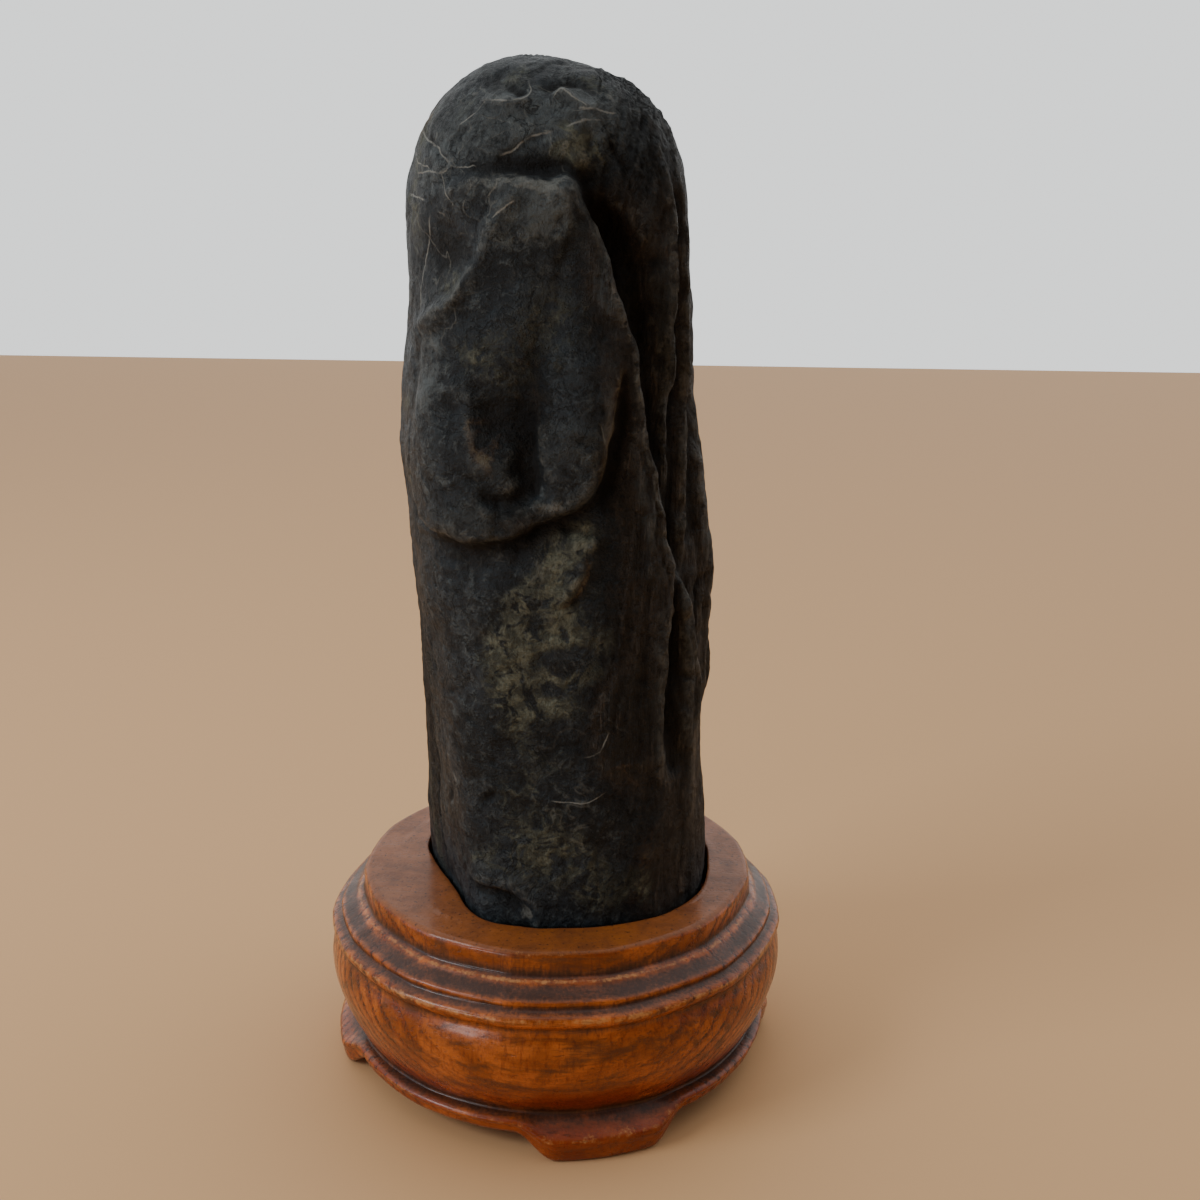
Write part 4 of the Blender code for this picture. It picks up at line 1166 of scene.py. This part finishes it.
# %% Wear with painted highlight and shade, veins and threads
def rubbed_lit_and_shaded(f, n, colour):
    """Edges that hands have rubbed, also given a painted highlight, a painted highlight on raised forms
    and painted shade in the hollows. Gives the colour and the hollows.
    """
    edge, high = f.layer("edge"), f.layer("high")
    # rubbed wear and painted highlight on the edges
    rubbed_and_lit = f.product(f.step(edge, 0.14, 0.80), f.step(n.mottle, 0.40, 0.62))
    colour = f.cover(colour, STONE_BEIGE, rubbed_and_lit, 0.36)
    # painted highlight on raised forms
    raised = f.product(f.step(high, 0.05, 0.7), f.step(n.patch, 0.4, 0.6))
    colour = f.cover(colour, STONE_ASH, raised, 0.35)
    # painted shade in the hollows
    hollow, sunk = f.step(edge, -0.10, -0.75), f.step(high, -0.10, -0.9)
    colour = f.cover(colour, STONE_DEEP, hollow, 0.8)
    return f.cover(colour, STONE_DEEP, sunk, 0.7), f.calc("MAXIMUM", hollow, sunk)


def veined(f, colour):
    """Cream hairlines where a family's distance passes zero, made to wander and break."""
    stray = f.product(f.calc("SUBTRACT", f.noise(4.0, detail=5.0, rough=0.7), 0.5), 1.3)
    broken = f.step(f.noise(2.8, detail=3.0), 0.34, 0.50, 0.25, 1.0)
    shown = 0.0
    for family, half_width in VEIN_HALF_WIDTHS.items():
        gap = f.calc("ABSOLUTE", f.calc("ADD", f.layer(family + "_gap"), stray))
        line = f.step(gap, half_width * 1.5, half_width * 0.3)
        line = f.product(line, f.layer(family + "_shows"), broken)
        shown = f.calc("MAXIMUM", shown, line)
    return f.cover(colour, VEIN_CREAM, shown, 0.78)


def threaded(f, n, colour):
    """Beige threads in the webbed places, then bright grains and fine upright scratches."""
    web = f.from_middle(f.noise(13.0, detail=3.0, rough=0.5, warp=0.3))
    thread = f.product(f.step(web, 0.013, 0.003), f.layer("webbed"), f.step(n.patch, 0.40, 0.60))
    colour = f.cover(colour, STONE_BEIGE, thread, 0.55)
    grains = f.noise(0.55, detail=1.0)
    colour = f.cover(colour, STONE_BEIGE, f.step(grains, 0.72, 0.82, 0.0, 0.18))
    scratches = f.noise(0.35, detail=2.0, rough=0.6, place=f.stretched(x=16.0, y=16.0, z=1.6))
    return f.cover(colour, STONE_BEIGE, f.step(scratches, 0.66, 0.80, 0.0, 0.16))


# %% Put the stone's finish together
def stone_finish():
    f = Finish("oiled_stone")
    n = stone_noises(f)
    colour, fissure = cracked(f, n, bloomed(f, n, ground(f, n)))
    colour, dusky = browned_and_shaded(f, n, colour)
    colour, olive = clouded(f, n, colour)
    colour, pale = seeped(f, n, colour)
    colour, hollows = rubbed_lit_and_shaded(f, n, colour)
    colour = threaded(f, n, veined(f, colour))

    rough = f.step(n.patch, 0.25, 0.75, 0.42, 0.58)
    rough = f.calc("MULTIPLY_ADD", f.calc("MAXIMUM", pale, olive), 0.12, rough)
    rough = f.calc("MULTIPLY_ADD", hollows, 0.16, rough)
    rough = f.stir(rough, n.grit, 0.20)

    depths = (  # height, depth in millimetres
        (f.calc("SUBTRACT", 1.0, fissure), 0.22),
        (n.patch, 0.95),
        (n.mottle, 0.75),
        (n.grit, 0.32),
        (f.noise(0.45, detail=2.0), 0.05),
        (f.product(n.drawn, dusky), 1.10),
        (f.product(n.fibrous, dusky), 0.55),
    )
    bumps = None
    for height, depth in depths:
        bumps = f.relief(height, depth, bumps)
    f.put_on(colour, rough, bumps)
    f.shader.inputs["Specular IOR Level"].default_value = STONE_GLOSS
    return f.material


stone_skin.data.materials.append(stone_finish())
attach(stone_skin, "root")
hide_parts("stone")
print("stone finish:", len(stone_skin.data.materials[0].node_tree.nodes), "nodes")

# %% [markdown]
# ## The stand's shape
# The real stand is one block: turned or carved round, moulded at the rim, hollowed to the
# stone's outline and cut away below into four low feet. A lathe profile alone would look
# machined, so the profile is swept round: every direction has its own profile, which
# blends from the plain lip into a foot, and a carver's small flats and wavers are laid on it.

# %% The stand's measures
STAND_HEIGHT = 51.5
SEAT_FLOOR = 38.7
SEAT_GAP = 0.9  # all round the stone, where it enters the seat
FOOT_CENTRES = (13.5, 104.0, 194.0, 278.0)
FOOT_HALF_WIDTH = 11.5  # degrees, where the foot stands at its full size
FOOT_SWEEP = 10.5  # degrees, over which the lip sweeps down into a foot
STAND_COLUMNS = 420
WAVER = 0.16  # how far a hand-cut surface strays
FLATNESS = 0.30  # 0 is turned round, 1 is cut flat between the corners

# radius, height, how worn the edge is with its painted highlight, how much stain and painted shade has
# stayed
MOULDING = (
    (51.0, 51.5, 0.2, 0.1),
    (51.9, 51.25, 0.5, 0.0),
    (52.4, 50.6, 0.5, 0.0),
    (52.6, 49.2, 0.2, 0.1),
    (52.5, 47.2, 0.0, 0.6),
    (52.5, 45.7, 0.0, 1.0),
    (52.8, 45.1, 0.0, 1.0),
    (53.6, 44.95, 0.8, 0.4),
    (54.2, 44.6, 1.0, 0.1),
    (54.7, 44.0, 0.0, 0.9),
    (56.2, 43.1, 0.0, 1.0),
    (57.6, 42.4, 0.0, 1.0),
    (58.4, 42.05, 0.3, 0.5),
    (58.8, 41.6, 1.0, 0.0),
    (58.7, 41.1, 0.1, 0.7),
    (58.3, 40.75, 0.0, 1.0),
    (58.7, 40.2, 0.0, 1.0),
    (59.7, 39.8, 0.0, 0.9),
    (60.7, 39.4, 0.4, 0.4),
    (61.3, 38.8, 1.1, 0.0),
    (61.4, 38.0, 0.6, 0.0),
    (61.1, 37.2, 0.1, 0.3),
    (60.4, 36.5, 0.0, 0.6),
    (59.9, 35.9, 0.0, 0.9),
    (59.9, 35.1, 0.0, 0.6),
    (60.3, 34.1, 0.1, 0.1),
    (60.75, 32.9, 0.0, 0.0),
    (61.2, 31.0, 0.0, 0.0),
    (61.4, 28.8, 0.0, 0.0),
    (61.2, 26.0, 0.0, 0.0),
    (60.3, 22.4, 0.0, 0.0),
    (59.1, 18.9, 0.0, 0.1),
    (57.8, 16.0, 0.0, 0.2),
    (56.4, 13.4, 0.0, 0.5),
    (55.5, 12.0, 0.0, 0.8),
    (55.0, 11.1, 0.0, 1.0),
)
# (radius, height) between the feet, (radius, height) at a foot, worn with painted highlight, stained
# with painted shade
PLATE = (
    ((55.2, 10.5), (55.0, 10.2), 0.0, 1.0),
    ((56.2, 10.3), (56.3, 9.3), 0.1, 0.9),
    ((57.2, 10.0), (57.8, 8.1), 0.3, 0.6),
    ((57.8, 9.6), (59.3, 7.1), 0.6, 0.3),
    ((58.0, 9.1), (60.2, 6.4), 0.7, 0.0),
    ((57.9, 8.7), (60.5, 5.8), 0.7, 0.0),
    ((57.5, 8.4), (60.4, 5.0), 0.2, 0.2),
    ((57.2, 8.2), (60.0, 4.0), 0.0, 0.6),
    ((57.0, 8.0), (59.9, 3.0), 0.5, 0.1),
    ((57.1, 7.2), (59.4, 1.2), 0.2, 0.1),
    ((56.9, 6.4), (58.9, 0.2), 0.5, 0.1),
    ((56.4, 5.8), (58.2, 0.0), 0.1, 0.4),
    ((52.0, 5.6), (52.0, 0.0), 0.0, 0.3),
    ((50.5, 5.6), (50.0, 0.2), 0.0, 0.3),
    ((48.0, 5.6), (48.0, 5.4), 0.0, 0.3),
    ((30.0, 5.6), (30.0, 5.6), 0.0, 0.2),
    ((8.0, 5.6), (8.0, 5.6), 0.0, 0.2),
)


# %% Feet, seat and a carver's flats
def foot_share(azimuth):
    """1 on a foot, 0 between two feet, and an S down the foot's side."""
    away = [np.abs((azimuth - c + 180.0) % 360.0 - 180.0) for c in FOOT_CENTRES]
    return smooth_step(1.0 - (np.min(away, axis=0) - FOOT_HALF_WIDTH) / FOOT_SWEEP)


SEAT_BINS = 180


def seat_reach(azimuth):
    """Distance from the axis to the seat's wall, all round the stone."""
    inside = stone_points[:, 2] < STAND_HEIGHT + 0.5
    x, y = stone_points[inside, 0], stone_points[inside, 1]
    turn = np.degrees(np.arctan2(x, -y)) % 360.0
    bin_size = 360.0 / SEAT_BINS
    widest = np.zeros(SEAT_BINS)
    np.maximum.at(widest, (turn / bin_size).astype(int) % SEAT_BINS, np.hypot(x, y))
    for _ in range(3):
        widest = (np.roll(widest, 1) + 2.0 * widest + np.roll(widest, -1)) / 4.0
    bins = np.arange(-1, SEAT_BINS + 1)
    return np.interp(azimuth, (bins + 0.5) * bin_size, widest[bins % SEAT_BINS]) + SEAT_GAP


FIRST_CORNER = -10.0
LAST_CORNER = FIRST_CORNER + 360.0
SHORTEST_FLAT, LONGEST_FLAT = 17.0, 34.0  # degrees


def carved_flats(azimuth):
    """How far a knife's flats cut in from the true circle, for a circle of radius 1."""
    chance = random.Random(17)
    corners = [FIRST_CORNER]
    while corners[-1] < LAST_CORNER - 16.0:
        corners.append(corners[-1] + chance.uniform(SHORTEST_FLAT, LONGEST_FLAT))
    corners[-1] = LAST_CORNER
    turn = (azimuth - FIRST_CORNER) % 360.0 + FIRST_CORNER
    cut = np.zeros_like(azimuth)
    for start, end in zip(corners, corners[1:]):
        half, off = math.radians(end - start) / 2, np.radians(turn - (start + end) / 2)
        flat = np.minimum(np.cos(half) / np.cos(off) - 1.0, 0.0)
        cut = np.where(np.abs(off) <= half, flat, cut)
    return cut


print("seat read in", SEAT_BINS, "directions")

# %% The stand's rows
def spaced(rows, spacing):
    """The rows' polyline read at even steps, its corners eased by a few small blurs."""
    rows = np.asarray(rows, float)
    lengths = np.hypot(np.diff(rows[:, 0]), np.diff(rows[:, 1]))
    travelled = np.concatenate([[0.0], np.cumsum(lengths)])
    stations = np.linspace(0.0, travelled[-1], int(travelled[-1] / spacing) + 1)
    even = np.stack([np.interp(stations, travelled, rows[:, k]) for k in range(rows.shape[1])], 1)
    for _ in range(2):
        even[1:-1] = (even[:-2] + 2.0 * even[1:-1] + even[2:]) / 4.0
    return even


def resampled(rows, count):
    """The same rows read at another number of even steps."""
    before, after = np.linspace(0.0, 1.0, len(rows)), np.linspace(0.0, 1.0, count)
    return np.stack([np.interp(after, before, rows[:, k]) for k in range(rows.shape[1])], 1)


ROW_SPACING = 0.42
LIP_ROWS = 12  # the plate's lip and edge, which are eased; the rows after them are its underside
lip = PLATE[:LIP_ROWS]
body_rows = spaced(MOULDING, ROW_SPACING)
between = spaced([(*gap, worn, stained) for gap, _, worn, stained in lip], ROW_SPACING)
at_foot = spaced([(*foot, worn, stained) for _, foot, worn, stained in lip], ROW_SPACING)
between = resampled(between, len(at_foot))
print("stand rows: body", len(body_rows), "plate", len(at_foot))

# %% Sweep the rows round
EASED = 0.45  # how far the seat's edge is eased
FLATS_FROM, FLATS_FADE = 30.0, 9.0  # the height where the knife's flats begin, and their fade
turns = np.arange(STAND_COLUMNS) * 360.0 / STAND_COLUMNS
foot = foot_share(turns)
seat = seat_reach(turns)
flats = carved_flats(turns)
# a ring's wear carries a painted highlight on the edges, and its stain a painted shade in the grooves
# and under the lip
rings = []  # each ring: radius and height per column, worn, stained


def around(value):
    """A value for each column, from one value or from one for each."""
    return value * np.ones(STAND_COLUMNS)


def add_ring(radius, height, worn=0.0, stained=0.0, flat=0.0):
    rings.append((around(radius) * (1.0 + flat * flats), around(height), worn, stained))


def toward_foot(plain, at_foot):
    """A measure that goes from its plain value to its value at a foot."""
    return plain + foot * (at_foot - plain)


for reach in (0.25, 0.5, 0.75, 0.96):
    add_ring(seat * reach, SEAT_FLOOR, stained=0.6)
for height in np.linspace(SEAT_FLOOR, STAND_HEIGHT - 0.5, 12):
    add_ring(seat, height, stained=0.7)
add_ring(seat + 0.12, STAND_HEIGHT - 0.15, worn=0.5)
for part in np.linspace(0.0, 0.97, 18):
    rim = MOULDING[0][0] * (1.0 + FLATNESS * flats)
    worn = 0.35 if part == 0.0 else 0.0
    add_ring(seat + EASED + part * (rim - seat - EASED), STAND_HEIGHT, worn=worn, stained=0.15)
for radius, height, worn, stained in body_rows:
    flat = FLATNESS * smooth_step((height - FLATS_FROM) / FLATS_FADE)
    add_ring(radius, height, worn, stained, flat)
for plain_row, foot_row in zip(between, at_foot):
    add_ring(*(toward_foot(a, b) for a, b in zip(plain_row, foot_row)))
for gap, at, worn, stained in PLATE[LIP_ROWS:]:
    add_ring(toward_foot(gap[0], at[0]), toward_foot(gap[1], at[1]), worn, stained)

stand_points = [(0.0, 0.0, SEAT_FLOOR)]
turn = np.radians(turns)
for radius, height, _, _ in rings:
    stand_points.extend(np.stack([radius * np.sin(turn), -radius * np.cos(turn), height], 1))
stand_points.append((0.0, 0.0, PLATE[-1][0][1]))
stand_points = np.array(stand_points)
worn_layer = np.concatenate([[0.0]] + [around(worn) for _, _, worn, _ in rings] + [[0.0]])
stained_layer = np.concatenate([[0.6]] + [around(stained) for *_, stained in rings] + [[0.2]])
print("stand:", len(stand_points), "points in", len(rings), "rings")

# %% [markdown]
# ## A carver's hand
# The swept rows are still too true. Each point is moved along its radius by a slow waver and a
# little chatter from the tool, both of noise, and never on the faces that stand on the table or
# that the stone needs clear.


# %% Waver and chatter
WAVER_OUTSIDE = 44.0  # the seat's wall, inside this radius, stays true
STANDS_BELOW = 0.4  # and so do the faces that stand on the table


def carver_waver(points):
    moved = points.copy()
    for i, p in enumerate(points):
        radius = math.hypot(p[0], p[1])
        if radius < WAVER_OUTSIDE or p[2] < STANDS_BELOW:
            continue
        slow = noise.fractal(Vector(p) / 15.0, 0.8, 2.0, 2)
        chatter = noise.fractal(Vector((p[0], p[1], p[2] * 0.35)) / 2.8, 0.7, 2.0, 2)
        shift = WAVER * slow + 0.3 * WAVER * chatter
        moved[i, :2] *= (radius + min(shift, 0.2)) / radius
        if p[2] > STAND_HEIGHT - 1.0:
            moved[i, 2] -= 0.12 + 0.10 * slow
        else:
            moved[i, 2] += 0.35 * WAVER * noise.noise(Vector(p) / 9.0)
    return moved


stand_points = carver_waver(stand_points)
stand_layers = {"worn": worn_layer, "stained": stained_layer}
carved_stand = net_object("carved_stand", stand_points, len(rings), STAND_COLUMNS, stand_layers)
carved_stand.data.calc_loop_triangles()
print("carved_stand:", len(carved_stand.data.loop_triangles), "triangles")

# %% [markdown]
# ## The wood's finish
# Wood is a solid pattern: growth rings are nested tubes round the tree's heart, here lying
# along X and just under the stand. Where the surface runs along them they make broad bands,
# and where it cuts across they make fine dotted lines, so one formula gives both faces. Pores
# are dark dashes along the grain. Red stain stays in the hollows, with painted shade in the
# grooves and under the lip, and edges are rubbed to tan, with a painted highlight on them.

# %% Colours of the wood
WOOD_ORANGE = (0.50, 0.122, 0.019)
WOOD_AMBER = (0.26, 0.052, 0.004)
# pores and pinholes, and the darkest held stain and painted shade in the grooves
WOOD_DARK = (0.034, 0.010, 0.004)
WOOD_RED = (0.150, 0.017, 0.003)
WOOD_BROWN = (0.062, 0.018, 0.006)
WOOD_CRIMSON = (0.22, 0.022, 0.004)
# dull stain in the grooves, and painted shade there and under the belly and the lip
WOOD_DULL = (0.125, 0.036, 0.013)
# tan of the rubbed edges, which are also a painted highlight
WOOD_TAN = (0.50, 0.205, 0.062)
WOOD_TOP = ((0.275, 0.076, 0.012), (0.160, 0.043, 0.009))
RING_AXIS = (30.0 * MM, -25.0 * MM)  # y and z of the tree's heart: behind and below
RING_PITCH = 2.8
RIM_FROM, RIM_TO = 0.0505, 0.0510  # metres up, where the flat top begins
LOW_FROM, LOW_TO = 0.024, 0.013  # and where the red low band comes in
print("wood colours: 10; a growth ring every", RING_PITCH, "mm")


# %% The wood's noises
def wood_noises(f):
    """Clouds and blotches of stain, fibres and flames along the grain, and fine specks."""
    return SimpleNamespace(
        cloud=f.noise(15.0, detail=5.0, rough=0.6, warp=0.5),
        pinholes=f.noise(0.9, detail=3.0, rough=0.6),
        blotch=f.noise(8.0, detail=6.0, rough=0.68),
        fibre=f.noise(1.0, detail=5.0, rough=0.7, place=f.stretched(x=11.0)),
        flame=f.noise(3.2, detail=5.0, rough=0.62, warp=0.35, place=f.stretched(x=6.0)),
        ripple=f.noise(0.8, detail=3.0, rough=0.6, place=f.stretched(z=4.5)),
        specks=f.noise(1.6, detail=5.0, rough=0.75),
    )


def wood_grain(f, x, y, z):
    """The growth rings' late wood, the pores, the end grain's dots, and where it is cut across."""
    back, up = f.calc("SUBTRACT", y, RING_AXIS[0]), f.calc("SUBTRACT", z, RING_AXIS[1])
    from_heart = f.calc("ADD", f.calc("POWER", back, 2.0), f.calc("POWER", up, 2.0))
    from_heart = f.calc("POWER", from_heart, 0.5)
    waver = f.product(f.noise(16.0, detail=4.0, place=f.stretched(x=2.5)), 2.2)
    ring = f.calc("FRACT", f.calc("MULTIPLY_ADD", from_heart, 1000.0 / RING_PITCH, waver))
    late = f.product(f.step(ring, 0.42, 0.88), f.step(ring, 1.0, 0.93))
    early = f.step(ring, 0.40, 0.0)
    cut_across = f.step(f.calc("ABSOLUTE", x), 0.020, 0.046, 0.22, 1.0)
    late_across = f.product(late, cut_across)
    pores = f.noise(0.62, detail=1.5, rough=0.5, place=f.stretched(x=6.0))
    pore = f.product(f.step(pores, 0.58, 0.70), f.calc("MULTIPLY_ADD", early, 0.6, 0.4))
    dot = f.product(f.step(f.noise(0.75, detail=1.0), 0.46, 0.60), late_across)
    return SimpleNamespace(late_across=late_across, pore=pore, dot=dot)


# %% Stained wood, its painted shade in the grooves and its rubbed, lit edges
def stained_colour(f, n, grain, z):
    """Orange and amber along the grain, browned in flames, red low down."""
    colour = f.cover(WOOD_ORANGE, WOOD_AMBER, f.step(n.cloud, 0.36, 0.66))
    colour = f.cover(colour, WOOD_AMBER, f.step(n.fibre, 0.45, 0.72, 0.0, 0.75))
    colour = f.cover(colour, WOOD_RED, grain.late_across, 0.75)
    colour = f.cover(colour, WOOD_RED, f.step(n.ripple, 0.48, 0.72, 0.0, 0.60))
    colour = f.cover(colour, WOOD_BROWN, f.step(n.blotch, 0.50, 0.72, 0.0, 0.45))
    colour = f.cover(colour, WOOD_BROWN, f.step(n.flame, 0.46, 0.68, 0.0, 0.72))
    low = f.product(f.step(z, LOW_FROM, LOW_TO), f.step(n.cloud, 0.20, 0.60))
    return f.cover(colour, WOOD_CRIMSON, low, 0.62)


def held_stain_and_shade(f, n, colour):
    """Dark stain that the grooves have held, and painted shade in the grooves and under the belly and
    the lip. Gives the colour and the stain with its shade.
    """
    ragged = f.stir(f.stir(f.layer("stained"), n.blotch, 0.9), n.ripple, 0.7)
    held_and_shaded = f.step(ragged, 0.25, 0.95)
    # held stain and painted shade in the grooves and under the lip
    colour = f.cover(colour, WOOD_DULL, held_and_shaded, 0.88)
    return f.cover(colour, WOOD_DARK, f.step(ragged, 0.62, 1.10), 0.88), held_and_shaded


def rubbed_and_lit_edges(f, n, colour):
    """Tan on the edges that hands have rubbed, which is also a painted highlight. Gives the colour and
    the rubbing with its highlight.
    """
    worn = f.stir(f.stir(f.layer("worn"), n.specks, 1.7), n.blotch, 1.2)
    # rubbed wear and painted highlight on the edges
    rubbed_and_lit = f.step(worn, 0.62, 1.02)
    return f.cover(colour, WOOD_TAN, rubbed_and_lit, 0.85), rubbed_and_lit


# %% Put the wood's finish together
WOOD_GLOSS, VARNISH, VARNISH_ROUGHNESS = 0.20, 0.40, 0.22


def wood_finish():
    f = Finish("stained_hardwood")
    apart = f.node("ShaderNodeSeparateXYZ")
    f.feed(apart.inputs[0], f.place)
    x, y, z = apart.outputs
    n, grain = wood_noises(f), wood_grain(f, x, y, z)
    colour, held_and_shaded = held_stain_and_shade(f, n, stained_colour(f, n, grain, z))
    top = f.step(z, RIM_FROM, RIM_TO)
    colour = f.cover(colour, f.cover(*WOOD_TOP, f.step(n.blotch, 0.34, 0.72)), top, 0.92)
    colour = f.cover(colour, WOOD_DARK, top, f.step(n.pinholes, 0.58, 0.72))
    colour, rubbed_and_lit = rubbed_and_lit_edges(f, n, colour)
    beside_top = f.calc("SUBTRACT", 1.0, f.product(top, 0.85))
    colour = f.cover(colour, WOOD_DARK, grain.pore, 0.50, beside_top)
    colour = f.cover(colour, WOOD_DARK, grain.dot, 0.80, beside_top)

    rough = f.step(n.blotch, 0.3, 0.7, 0.24, 0.38)
    for share, amount in ((held_and_shaded, 0.20), (rubbed_and_lit, 0.10), (top, 0.30)):
        rough = f.calc("MULTIPLY_ADD", share, amount, rough)
    rough = f.stir(rough, n.specks, 0.16)

    open_grain = f.calc("SUBTRACT", 1.0, f.calc("MAXIMUM", grain.pore, grain.dot))
    tool_marks = f.noise(3.2, detail=4.0)
    bumps = None
    for height, depth in ((open_grain, 0.10), (n.fibre, 0.07), (n.ripple, 0.06), (tool_marks, 0.18)):
        bumps = f.relief(height, depth, bumps)
    f.put_on(colour, rough, bumps)
    f.shader.inputs["Specular IOR Level"].default_value = WOOD_GLOSS
    f.shader.inputs["Coat Weight"].default_value = VARNISH
    f.shader.inputs["Coat Roughness"].default_value = VARNISH_ROUGHNESS
    return f.material


carved_stand.data.materials.append(wood_finish())
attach(carved_stand, "root")
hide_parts("stand")
print("wood finish:", len(carved_stand.data.materials[0].node_tree.nodes), "nodes")
